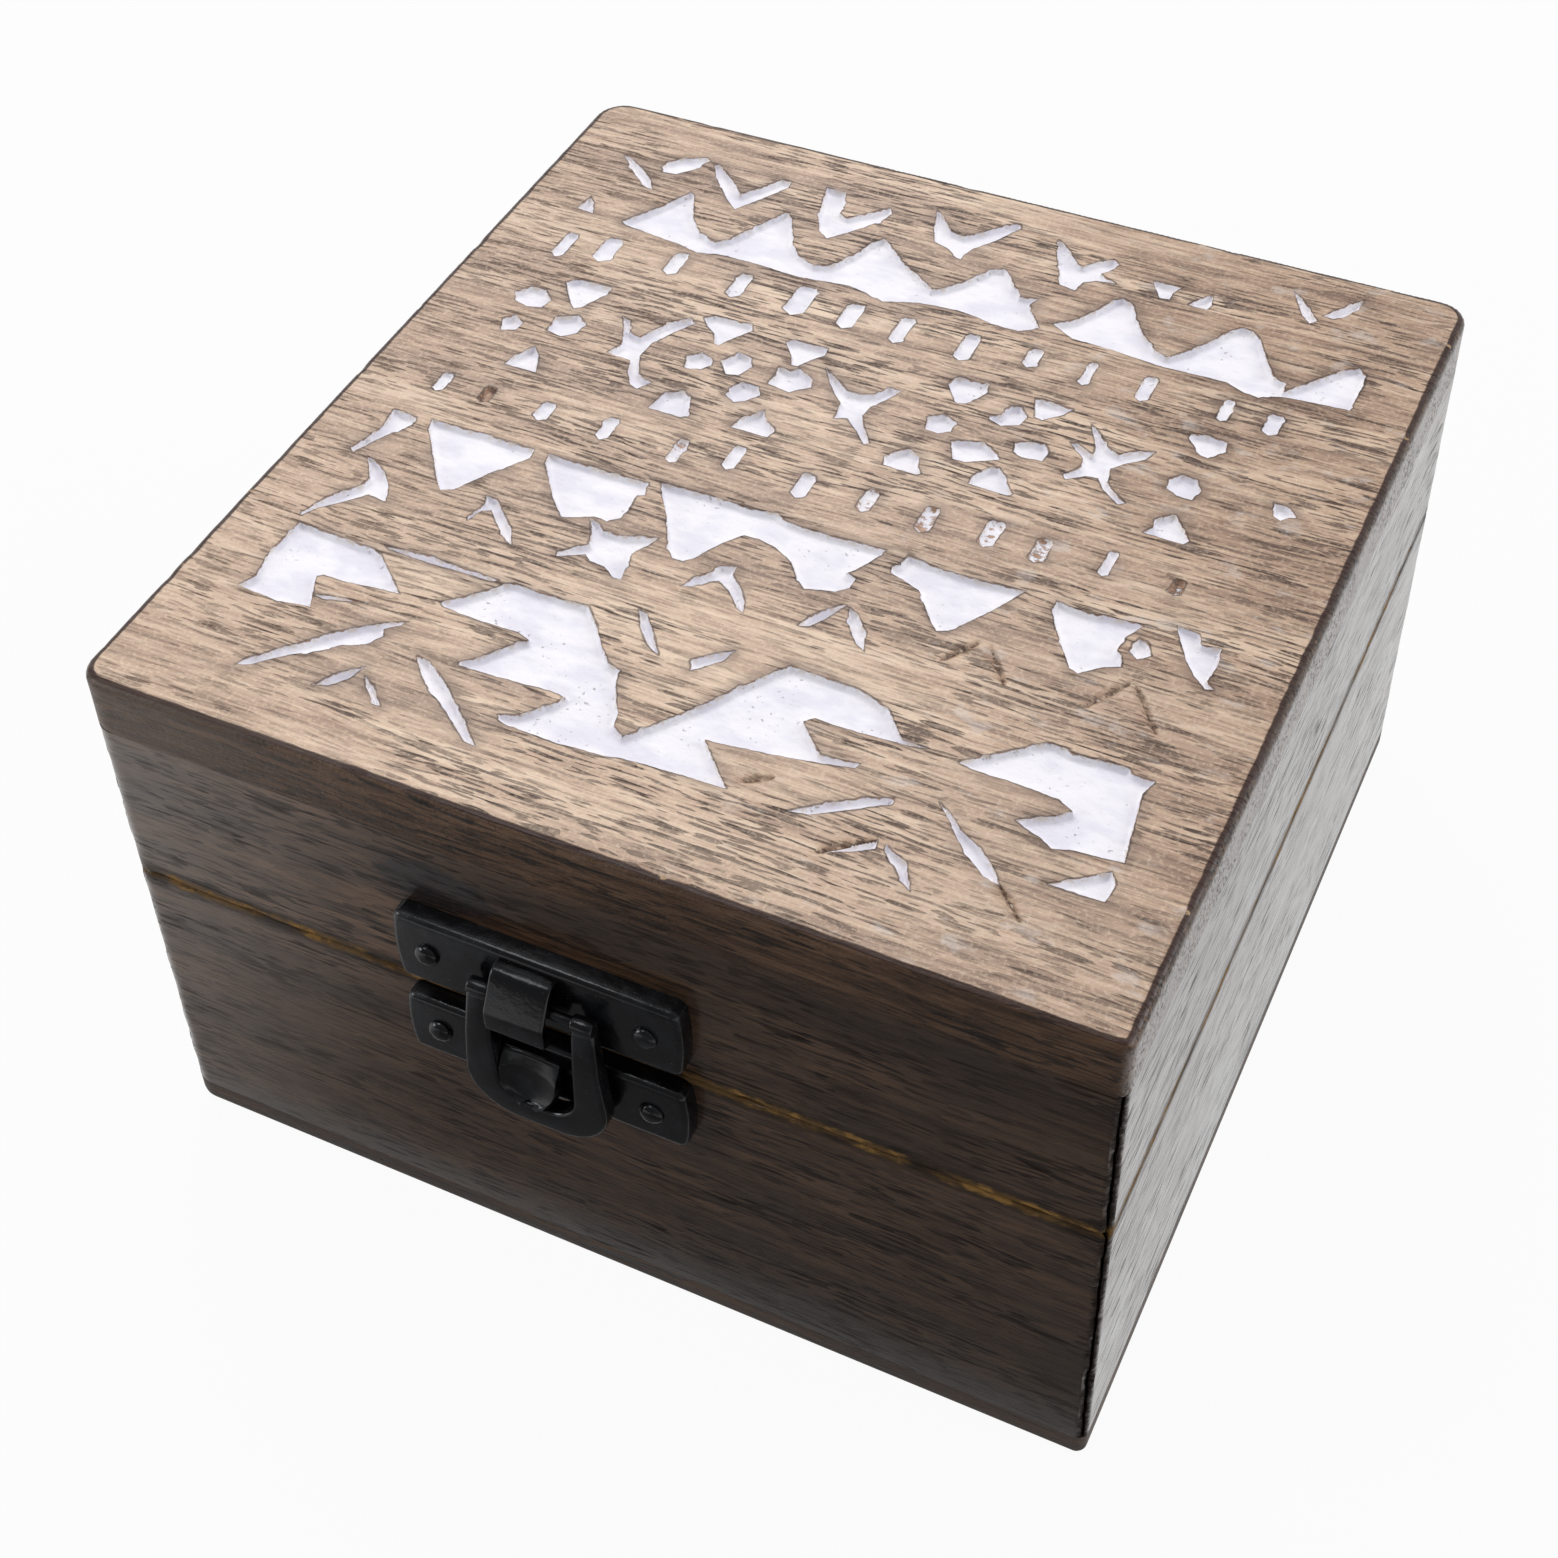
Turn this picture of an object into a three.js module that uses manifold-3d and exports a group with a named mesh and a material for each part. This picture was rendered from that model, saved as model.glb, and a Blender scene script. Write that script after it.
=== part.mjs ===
// A small hinged wooden box with a chip-carved lid and a black steel hasp.
// Millimetres, +Z up, front towards -Y. The origin is the centre of the box's underside.
import * as THREE from 'three';
import { mergeVertices } from 'three/addons/utils/BufferGeometryUtils.js';
import Module from 'manifold-3d';

const wasm = await Module();
wasm.setup();

// The box
const boxWidth = 100;
const boxDepth = 103;
const boxHeight = 63;
const baseHeight = 37;
const lidGap = 0.3;
const wallThickness = 6;
const bottomThickness = 3.3;
const topThickness = 6.5;
const cornerRadius = 3;
const edgeRounding = 1.2;
const mitreGap = 0.3;

// The carving
const carveDepth = 1;
const nickDepth = 0.7;

// The hasp on the front
const haspOffset = -3.3;
const plateWidth = 29.2;
const plateThickness = 2;
const plateBevel = 0.7;
const plateEndBulge = 0.4;
const haspPlateHeight = 8.8;
const haspPlateRise = 2.2;
const strikePlateHeight = 7.8;
const strikePlateDrop = 0.3;
const pinInset = 3.6;
const pinHeadRadius = 1.2;
const pinHeadHeight = 0.7;
const sheetThickness = 0.6;
const tongueShift = -0.7;
const hoodWidth = 5.6;
const hoodRise = 3.2;
const hoodFold = 1;
const hoodBreak = 0.7;
const hoodDrop = 3.4;
const pivotRise = 4.5;
const pivotBarRadius = 0.5;
const eyeRadius = 0.95;
const ringLength = 16.1;
const ringDepth = 2;
const ringArmWidth = 3.4;
const ringTaper = 0.7;
const ringFootHeight = 2.6;
const ringCornerRadius = 5;
const ringBevel = 0.5;
const windowWidth = 7.8;
const windowCornerRadius = 3;
const hookWidth = 5.8;
const hookThickness = 0.8;

// The hinges let into the back walls
const hingeInset = 22;
const leafWidth = 20;
const leafReach = 4.6;
const leafThickness = 0.8;
const barrelRadius = 1.5;
const hingePinRadius = 0.65;
const hingePinHead = 0.4;
const nailSpacing = 12;
const nailHeadRadius = 1.1;

// Nails, pins and clearances
const shankRadius = 0.5;
const shankLength = 4;
const shankTipRadius = 0.2;
const holeClearance = 0.15;
const runningClearance = 0.3;

const halfWidth = boxWidth / 2;
const halfDepth = boxDepth / 2;
const frontFace = -halfDepth;
const backFace = halfDepth;
const lidBottom = baseHeight + lidGap;
const topBoardBottom = boxHeight - topThickness;

// Materials
function paint(colour, roughness, metalness) {
  return () => new THREE.MeshStandardMaterial({ color: colour, roughness, metalness });
}
const topWood = paint(0xb79c85, 0.7, 0);
const sideWood = paint(0x8f6f58, 0.72, 0);
const bottomWood = paint(0x7d5f4a, 0.75, 0);
const blackSteel = paint(0x2b2d33, 0.38, 0.55);

// A closed mesh becomes a solid once its shared corners are merged.
function solid(geometry) {
  const bare = geometry.index ? geometry.toNonIndexed() : geometry.clone();
  bare.deleteAttribute('normal');
  bare.deleteAttribute('uv');
  const merged = mergeVertices(bare, 1e-4);
  const corners = merged.index.array;
  const triangles = [];
  for (let i = 0; i < corners.length; i += 3) {
    const [a, b, c] = [corners[i], corners[i + 1], corners[i + 2]];
    if (a !== b && b !== c && c !== a) triangles.push(a, b, c);
  }
  const mesh = new wasm.Mesh({
    numProp: 3,
    vertProperties: new Float32Array(merged.attributes.position.array),
    triVerts: new Uint32Array(triangles),
  });
  return new wasm.Manifold(mesh);
}

const model = new THREE.Group();

function addPiece(name, body, material) {
  const mesh = body.getMesh();
  const geometry = new THREE.BufferGeometry();
  geometry.setAttribute('position', new THREE.BufferAttribute(mesh.vertProperties, 3));
  geometry.setIndex(new THREE.BufferAttribute(mesh.triVerts, 1));
  geometry.computeVertexNormals();
  const piece = new THREE.Mesh(geometry, material());
  piece.name = name;
  model.add(piece);
}

// Outlines drawn in the XY plane rise along Z.
function riseFrom(shape, bottom, top, options = {}) {
  const settings = { depth: top - bottom, bevelEnabled: false, curveSegments: 5, ...options };
  return new THREE.ExtrudeGeometry(shape, settings).translate(0, 0, bottom);
}

// Outlines drawn in the XZ plane grow from a face towards the front.
const towardsFront = new THREE.Matrix4().makeBasis(
  new THREE.Vector3(1, 0, 0),
  new THREE.Vector3(0, 0, 1),
  new THREE.Vector3(0, -1, 0),
);
function growForward(shape, face, thickness, options = {}) {
  const settings = { depth: thickness, bevelEnabled: false, curveSegments: 6, ...options };
  return new THREE.ExtrudeGeometry(shape, settings).applyMatrix4(towardsFront).translate(0, face, 0);
}

// Profiles drawn in the YZ plane run along X, centred on a place.
const alongWidth = new THREE.Matrix4().makeBasis(
  new THREE.Vector3(0, 1, 0),
  new THREE.Vector3(0, 0, 1),
  new THREE.Vector3(1, 0, 0),
);
function runAcross(shape, centre, width) {
  const settings = { depth: width, bevelEnabled: false, curveSegments: 6 };
  return new THREE.ExtrudeGeometry(shape, settings)
    .applyMatrix4(alongWidth)
    .translate(centre - width / 2, 0, 0);
}

function block(x0, x1, y0, y1, z0, z1) {
  const box = new THREE.BoxGeometry(x1 - x0, y1 - y0, z1 - z0);
  return solid(box.translate((x0 + x1) / 2, (y0 + y1) / 2, (z0 + z1) / 2));
}

// A cylinder whose axis lies along X.
function rodAcross(centre, y, z, radius, length, sides = 16) {
  const rod = new THREE.CylinderGeometry(radius, radius, length, sides);
  return solid(rod.rotateZ(Math.PI / 2).translate(centre, y, z));
}

function outlineOf(points) {
  return new THREE.Shape(points.map(([x, y]) => new THREE.Vector2(x, y)));
}

function roundedRectangle(x0, x1, y0, y1, radius) {
  const shape = new THREE.Shape();
  shape.moveTo(x0 + radius, y0);
  shape.lineTo(x1 - radius, y0);
  shape.absarc(x1 - radius, y0 + radius, radius, -Math.PI / 2, 0);
  shape.lineTo(x1, y1 - radius);
  shape.absarc(x1 - radius, y1 - radius, radius, 0, Math.PI / 2);
  shape.lineTo(x0 + radius, y1);
  shape.absarc(x0 + radius, y1 - radius, radius, Math.PI / 2, Math.PI);
  shape.lineTo(x0, y0 + radius);
  shape.absarc(x0 + radius, y0 + radius, radius, Math.PI, Math.PI * 1.5);
  return shape;
}

// Boards: full-size panels whose outer edges are rounded over on one side.
function board(bottom, top, roundedTop) {
  const shape = roundedRectangle(-halfWidth, halfWidth, -halfDepth, halfDepth, cornerRadius);
  const start = roundedTop ? bottom : bottom + edgeRounding;
  const rounding = {
    depth: top - bottom - edgeRounding,
    bevelEnabled: true,
    bevelThickness: edgeRounding,
    bevelSize: edgeRounding,
    bevelOffset: -edgeRounding,
    bevelSegments: 3,
  };
  const panel = solid(riseFrom(shape, start, top, rounding));
  const reach = [-boxWidth, boxWidth, -boxDepth, boxDepth];
  const spare = roundedTop
    ? block(...reach, bottom - 2 * edgeRounding, bottom)
    : block(...reach, top, top + 2 * edgeRounding);
  return panel.subtract(spare);
}

// Frames: four mitred walls under or over a board, glued corner to corner.
function frameRing(bottom, top) {
  const shape = roundedRectangle(-halfWidth, halfWidth, -halfDepth, halfDepth, cornerRadius);
  const insideX = halfWidth - wallThickness;
  const insideY = halfDepth - wallThickness;
  shape.holes.push(new THREE.Path([
    new THREE.Vector2(-insideX, -insideY),
    new THREE.Vector2(-insideX, insideY),
    new THREE.Vector2(insideX, insideY),
    new THREE.Vector2(insideX, -insideY),
  ]));
  return solid(riseFrom(shape, bottom, top));
}

// The mitre runs at 45 degrees from the outer corner, and each wall gives up half of the glue line.
function mitreWedge(side, bottom, top) {
  const setback = mitreGap / Math.SQRT2;
  const inward = wallThickness + 1;
  const outward = 1;
  const along = (side === 'front' || side === 'back') ? halfWidth : halfDepth;
  const across = (side === 'front' || side === 'back') ? halfDepth : halfWidth;
  const wide = along + outward - setback;
  const narrow = along - inward - setback;
  const trapezium = [
    [-wide, -across - outward],
    [wide, -across - outward],
    [narrow, -across + inward],
    [-narrow, -across + inward],
  ];
  const turn = { front: 0, right: 1, back: 2, left: 3 }[side];
  const quarter = ([x, y]) => [[x, y], [-y, x], [-x, -y], [y, -x]][turn];
  return solid(riseFrom(outlineOf(trapezium.map(quarter)), bottom - 1, top + 1));
}

function wallsOf(bottom, top) {
  const ring = frameRing(bottom, top);
  const walls = {};
  for (const side of ['front', 'back', 'left', 'right']) {
    walls[side] = ring.intersect(mitreWedge(side, bottom, top));
  }
  return walls;
}

const baseWalls = wallsOf(bottomThickness, baseHeight);
const lidWalls = wallsOf(lidBottom, topBoardBottom);
const bottomBoard = board(0, bottomThickness, false);

// The carving, drawn from above on a lid of this size: x to the right, y to the back.
const drawnLid = { width: 100, depth: 103 };
const chevronsAtBack = [
  [[-43.2, 41.9], [-42, 41.6], [-40, 40.2], [-38, 38.6], [-37, 36.9], [-38.5, 37.4], [-40.5, 39.2]],
  [[-38, 42.4], [-36.5, 43.8], [-34.2, 44.9], [-33.6, 44.5], [-34.5, 42.3], [-36, 40.6], [-37.6, 40.4]],
  [[-33, 44.1], [-32.2, 44.1], [-29.5, 42], [-27.7, 40], [-26, 42.2], [-24.8, 44.3], [-23.5, 44.3],
    [-23.4, 43.2], [-24.6, 41], [-27, 37.2], [-28.5, 38.4], [-31, 41.2]],
  [[-19.5, 44.9], [-17.2, 44.8], [-16.4, 43], [-16.2, 41], [-15.2, 40.5], [-13, 42.6], [-11.6, 44],
    [-11, 43.2], [-11.6, 41.2], [-14, 38], [-15.6, 36.2], [-17, 37.2], [-18.3, 40]],
  [[-6.8, 45.8], [-5.6, 44.8], [-4, 42.8], [-2.4, 42.3], [-0.6, 44], [1.2, 46.2], [2.4, 46.8],
    [2.7, 46], [1.2, 43], [-0.6, 40.5], [-1.2, 38.6], [-1.9, 38.8], [-3, 39.6], [-4.8, 40.2], [-5.6, 42]],
  [[7.2, 45.8], [8.6, 44.8], [10.4, 42.6], [11.2, 42.2], [12.4, 43.8], [13.8, 44.8], [14.6, 44],
    [13.4, 41.8], [15.4, 40.8], [13.4, 40.4], [12.2, 39.6], [11.9, 38], [10.2, 38.3], [9.4, 40.2], [8, 43]],
  [[18.8, 42.8], [22, 43], [21.3, 41.6], [21.4, 40.4], [20.4, 40.2], [19.6, 41.4]],
  [[25.3, 42.9], [25.7, 41.2], [25.4, 40.2], [23.4, 40.3], [24, 41.4]],
  [[32.7, 46.8], [33.8, 46], [35.4, 44], [36.3, 42.9], [35.7, 42.1], [34.6, 43.2], [33.6, 45]],
  [[36.5, 43.9], [38.6, 47], [39.7, 48.2], [39.6, 46.4], [38.6, 44.6], [37.6, 43.8]],
  [[-42.6, 33.1], [-41.8, 32.2], [-40.9, 30.4], [-42.9, 30.6]],
];
const joinedTriangles = [
  [[-37.2, 30.3], [-34.6, 34.5], [-32.9, 38.2], [-32.2, 37.8], [-30.5, 34], [-28.6, 31.8], [-26.2, 30.8],
    [-25, 32], [-23.4, 35.4], [-21.6, 38.9], [-20.6, 38.2], [-18.6, 34], [-17, 32.2], [-14.8, 31.2],
    [-13.2, 32], [-11.8, 34.6], [-10.8, 37.4], [-10, 38.6], [-9, 38], [-6.6, 35.6], [-4.4, 34.2],
    [-2.6, 33], [-1.8, 32.2], [-0.8, 32.8], [1, 35.2], [2.6, 38], [3.9, 38.6], [5, 37.6], [7, 34.6],
    [8, 34.8], [9, 35.2], [8.4, 33.6], [9.6, 32.2], [10.8, 30.6], [10.3, 30], [9, 29.2], [5, 29.6],
    [2, 30], [-2, 29.6], [-5.6, 28.3], [-7.5, 28.9], [-10, 29.4], [-15.4, 28.7], [-20, 29],
    [-25, 29], [-27.2, 28.4], [-30, 29], [-35.5, 29.7]],
  [[11.8, 31.7], [13.6, 33.2], [15, 35.4], [16.2, 38], [17, 38.7], [18.4, 38], [19.4, 35.8],
    [21.2, 33.4], [22.8, 31.8], [24.2, 31.2], [25.4, 32.4], [27.4, 35.2], [28.8, 38], [29.6, 38.8],
    [30.9, 38.6], [32, 37.6], [33.4, 35], [35, 32.4], [35.6, 31.9], [36.3, 32], [36.6, 30.6],
    [38.4, 32.8], [40, 35], [41.4, 36.6], [42.4, 37.1], [43.3, 36.2], [43.4, 33], [43.3, 30.2],
    [38.5, 29.9], [35.6, 29.4], [34.6, 28.6], [33, 28.8], [31, 29.7], [24.4, 29.5], [18, 30.1],
    [14.5, 30.2]],
];
const dotsAndCrosses = [
  [[-37.6, 18.2], [-36.4, 19.2], [-32.6, 19.2], [-32.6, 18], [-34, 14.8], [-34.6, 14.4], [-35.4, 15.2]],
  [[-41.6, 14.6], [-40.6, 15.8], [-38.8, 16], [-37.4, 14.8], [-37.8, 13.2], [-39.4, 12.8], [-41, 13.2]],
  [[-35.6, 12.4], [-33.6, 13.6], [-32.2, 12.6], [-32.3, 10.8], [-33.6, 9.8], [-35.4, 10]],
  [[-40.6, 10], [-39.6, 10.9], [-38.2, 10.2], [-38.4, 8.8], [-39.8, 8.2]],
  [[-36.4, 5], [-35.2, 7], [-34.2, 6.2], [-33, 3.4], [-36.6, 3.4]],
  [[-29.2, 15.2], [-28.2, 15], [-27.4, 13.2], [-26, 12.8], [-25.2, 14.6], [-24, 16.8], [-22.6, 17.8],
    [-21.8, 17.2], [-23, 15.2], [-24.4, 12.4], [-24.6, 10], [-23.4, 7.6], [-22.4, 6.8], [-21.4, 6.8],
    [-22.4, 5.3], [-23.4, 5.6], [-24.6, 7.4], [-25.2, 9], [-28, 9.3], [-27.2, 11], [-28, 13]],
  [[-21.4, 18.4], [-20.6, 19.2], [-16.4, 19.4], [-15.8, 18.4], [-17.2, 16.4], [-18, 14.8],
    [-18.6, 14.9], [-19.2, 16.4], [-20.4, 17.2]],
  [[-20.2, 12], [-19, 13.1], [-17.6, 12.6], [-17.2, 11.6], [-18, 10.6], [-19.6, 10.2]],
  [[-16.6, 12.6], [-15.6, 14.6], [-14, 14.2], [-13.3, 13], [-14, 11.2], [-15.3, 10.9]],
  [[-14, 9], [-13.2, 10.4], [-11.4, 10.4], [-10.6, 9.2], [-11.6, 7.8], [-12.6, 7.2], [-13.6, 7.8]],
  [[-19.6, 5.8], [-18, 6.8], [-16.8, 6.2], [-15.8, 3.4], [-16.4, 3], [-20, 3]],
  [[-12, 18.2], [-11.2, 18.8], [-7.5, 18.8], [-7.4, 17.6], [-8.6, 16], [-9.2, 15], [-9.8, 15], [-10.6, 16.4]],
  [[-10.9, 14.2], [-9.6, 14], [-8.8, 14.7], [-7, 13.8], [-6.5, 12.4], [-7.6, 11.4], [-8.2, 10.8],
    [-9.6, 11], [-10.8, 11.2], [-10.6, 12.8]],
  [[-10.6, 5.6], [-9.2, 7.2], [-8.4, 6], [-7, 5], [-7.2, 3.6], [-11.1, 3.6], [-11, 4.6]],
  [[-6.4, 15.8], [-5, 14.8], [-3, 13.4], [-1.6, 13.4], [-0.4, 13.8], [0.8, 15.6], [2, 15.4], [1.2, 13.6],
    [0.2, 12], [0, 10.4], [1, 8.6], [2.4, 6.8], [1.9, 6.4], [0.4, 8], [-1.2, 9.4], [-2.4, 9],
    [-2.8, 11.4], [-4.2, 12.8]],
  [[6, 19.4], [6.4, 19.9], [9.6, 19.9], [9.8, 18.4], [8.6, 16.2], [7.8, 15.9], [6.8, 17], [5.8, 18.4]],
  [[12.8, 17.6], [13.8, 18], [14.9, 16.6], [14.6, 15.2], [13, 14.4], [11.6, 14.9], [11.4, 15.5], [12.4, 16]],
  [[14.6, 19.6], [15.2, 19.9], [18.6, 19.6], [18, 18.4], [16.4, 16.8], [15.6, 17], [15.1, 18.2]],
  [[6, 12.9], [7.4, 13.9], [8.8, 13.2], [8.9, 11.6], [7.8, 10.8], [6.4, 11]],
  [[15.2, 12.6], [16.4, 13.2], [18, 13.6], [18.7, 12.4], [18.6, 11], [16.6, 10.8], [15.6, 11.2]],
  [[9.4, 10.4], [10.6, 10.9], [12.4, 11.4], [14.2, 10.4], [14.8, 9.6], [13.6, 8.8], [11.8, 7.9], [10.6, 7.9]],
  [[13.3, 6.4], [14.4, 8.2], [15.2, 8.5], [16.4, 7.4], [17.6, 5.4], [17.4, 5], [13.4, 5.1]],
  [[4.4, 5.6], [5.4, 7], [6.2, 7.7], [7.6, 6.8], [8, 5.6], [8.6, 4.6], [8.2, 4.3], [4.8, 4.4]],
  [[21, 18.2], [22, 17.4], [23.6, 15.6], [25, 15], [26.4, 16.2], [28.2, 16.7], [27.6, 15.2], [26, 13.8],
    [25, 12.6], [25.4, 10.6], [26.4, 9.6], [28, 8.4], [27.4, 8], [25.4, 9.4], [24.4, 10.8], [23.2, 10.6],
    [21.6, 9.4], [21.2, 10], [22.4, 11.6], [22, 13], [20, 14.8], [20.8, 14.9], [22.8, 13.8], [22.6, 15]],
  [[30.4, 20.6], [31, 21], [34, 21], [34.2, 19.4], [33, 17.8], [32.2, 17.9], [31.4, 18.8], [30.6, 19.6]],
  [[30.6, 13.4], [31.6, 14.6], [33, 14.4], [33.9, 13], [33.5, 11.4], [32, 11.4], [30.8, 12]],
  [[40.8, 14], [42.4, 13.9], [43.3, 12.9], [42.6, 12.6], [42, 11.9], [41.2, 12.3]],
  [[31.2, 7.4], [32.8, 8.9], [34, 7.4], [35.2, 5.8], [34.8, 5.1], [30.8, 5.2], [31.5, 6.2]],
];
const hangingTriangles = [
  [[-43.2, -7.3], [-40.4, -7.6], [-40.2, -8.8], [-41.6, -11], [-42.8, -13.4], [-43.4, -14.8],
    [-44, -14.2], [-43.4, -12.6], [-42.8, -10.4]],
  [[-38.9, -7.2], [-27.2, -7.2], [-27, -8.6], [-27.8, -9.8], [-29.4, -12], [-31.4, -15.6],
    [-32.6, -16.2], [-33.6, -15.2], [-36, -11.8], [-38.4, -8.8]],
  [[-25.7, -7.2], [-20, -7.4], [-14.8, -7.3], [-14.2, -8.8], [-14.9, -9.2], [-14.7, -10.9], [-14.8, -12.8],
    [-15.8, -13.6], [-17.2, -13.6], [-19.2, -14.6], [-20, -14.9], [-21.2, -13.8], [-23.6, -10.9],
    [-25.2, -8.6]],
  [[-13.6, -6.6], [-9, -6.4], [-4.6, -6.6], [-1.4, -6.2], [0, -6.9], [4, -7], [10, -6.7], [9.2, -9],
    [8.6, -10.2], [8, -11], [9, -11.4], [9, -12.8], [8, -13.8], [6.4, -14.2], [5.2, -14.6], [4, -13.6],
    [2.6, -11.8], [0.4, -10.6], [-1.6, -10.2], [-3, -10.2], [-4.4, -12], [-5.8, -14.8], [-6.6, -15.8],
    [-7.8, -15.8], [-9.4, -13.6], [-11, -10.6], [-12.6, -8.4]],
  [[12.2, -6.6], [16, -7.1], [20, -7], [23.8, -6.7], [23.2, -8], [21.6, -11], [19.4, -14.4], [18.4, -14.8],
    [17.4, -13.8], [14.9, -10.6], [13.4, -10], [11.6, -9.4], [11.4, -8.6], [12, -8]],
  [[26.9, -6.8], [30, -7.1], [33.6, -6.6], [35.2, -6.5], [34.6, -7.8], [34, -9], [34, -10.6], [34.6, -11],
    [35, -12.4], [33.4, -13.2], [31.8, -14.8], [30.9, -14.4], [28.6, -11], [26.8, -8]],
  [[35.3, -8.2], [36.2, -8.6], [37, -10], [36, -11], [35, -10.2]],
  [[37.8, -5.4], [40, -5.6], [40.6, -7], [42.4, -6.6], [42.7, -9], [42.5, -11], [43.4, -11.8], [42.6, -12],
    [41.4, -11], [40, -9.4]],
];
const chevronsAtFront = [
  [[-41.8, -14.6], [-40.6, -15], [-39, -16], [-37.6, -17.6], [-36.6, -19.8], [-38.6, -19.6], [-40, -21.2],
    [-42, -23.2], [-43, -24.8], [-43.2, -24.2], [-42.2, -21.6], [-41, -19.8], [-40, -18.8], [-39.8, -17.4],
    [-41, -15.8]],
  [[-28, -15.2], [-26.8, -15.2], [-25.2, -16.8], [-23.6, -18.2], [-22.4, -20.3], [-23.2, -20], [-25, -18.4],
    [-26.6, -16.8], [-27.4, -17.2], [-28, -19], [-28.2, -18.4], [-27.6, -16.2]],
  [[-17.4, -14], [-16.2, -14.3], [-15.4, -15], [-13.4, -15], [-11.8, -14.2], [-10.1, -13.8], [-10.6, -15.2],
    [-11.6, -16.8], [-11.2, -18], [-10.8, -20.4], [-11.6, -20.4], [-13, -19.4], [-14.6, -19.2],
    [-15.4, -18.6], [-17.8, -20], [-18, -19.4], [-16.6, -17.8], [-15.8, -17.2], [-16.4, -15.4]],
  [[-3.2, -14.9], [-1.7, -14.4], [-1.6, -15.6], [-0.2, -16.8], [1, -18.4], [1.5, -19.8], [0.6, -19.4],
    [-1, -17.6], [-2.4, -16.8], [-3.6, -17.6], [-4.4, -18.6], [-5.4, -19], [-4.8, -17.6], [-3.6, -16]],
  [[9.6, -15], [8.4, -16], [7.2, -17.8], [6.8, -19.2], [7.8, -18.8], [8.6, -17.6], [9.2, -16.2]],
  [[10.1, -15.2], [10.9, -15.8], [12.6, -17.6], [13.6, -19.9], [12.4, -19.2], [11, -17.4]],
];
const steppedShapes = [
  [[-42.6, -25.6], [-38, -25.9], [-34.2, -26], [-33, -26.4], [-31.2, -28], [-29, -30], [-28.4, -30.4],
    [-31, -30.6], [-34, -31], [-36.4, -31], [-36.9, -31.4], [-36.2, -33], [-35.2, -35.2], [-38.6, -35.8],
    [-41, -35.6], [-43, -35.5], [-42.2, -33.6], [-42.9, -30], [-42.6, -27.4]],
  [[-36, -33.7], [-34.6, -33.2], [-30.2, -32.5], [-32.6, -33.2], [-34.8, -33.8]],
  [[-33.4, -25.1], [-28, -24.9], [-21, -25], [-21.4, -25.4], [-28, -25.6], [-32.6, -25.5]],
  [[-20.4, -25.3], [-19.4, -24.8], [-14, -24.9], [-11.8, -24.8], [-10, -26.6], [-8, -29], [-6.8, -30.4],
    [-5.4, -31], [-4.8, -32.6], [-3.8, -34.4], [-3, -35.6], [-2.6, -37.2], [-1.3, -38], [0, -36.4],
    [2, -33.6], [4.2, -30.2], [6, -27.4], [7.6, -25], [8.4, -24.1], [10, -24.2], [15, -24.4], [17, -25],
    [18.6, -25.8], [20, -27.4], [21, -28.4], [23.4, -28.5], [21.8, -28.9], [17, -29.2], [13, -29.2],
    [12.2, -29.9], [13.6, -31.4], [15.2, -33], [18.8, -32.5], [18.6, -33.2], [15.2, -33.9], [11, -34.7],
    [7, -35.3], [5.4, -35.4], [6.8, -37], [8.6, -38.8], [9.6, -39.8], [3, -40.1], [0, -40.3], [-3, -40.8],
    [-6, -41], [-10, -41], [-12.2, -40.6], [-12.6, -40.1], [-10.8, -39.4], [-9.8, -38.2], [-8.8, -37],
    [-8.1, -35.8], [-10, -35.7], [-15, -36.1], [-18.8, -36.2], [-19, -35.8], [-17.6, -34.6],
    [-16, -32.4], [-14.7, -30.8], [-16, -30.4], [-20, -30.4], [-24, -30.2], [-24.6, -29.8],
    [-22.6, -28], [-21, -26.2]],
  [[32.8, -23.6], [35, -23.9], [39.8, -23.6], [40.4, -24.2], [42.3, -24.2], [41.8, -26], [42.1, -28],
    [42.5, -30.6], [43, -33.8], [38.4, -34.3], [37, -34.8], [35.6, -34], [33.1, -33.1], [34.4, -32.2],
    [36.4, -31], [37.1, -30.2], [35.6, -29.4], [32, -29.2], [27.6, -29.2], [26.4, -28.9], [28, -27.4],
    [30.4, -25.4], [32, -24]],
  [[42.4, -35], [43.2, -36.2], [43, -38.4], [38, -38.5], [39.6, -37.2], [41, -36.2]],
];
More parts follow.
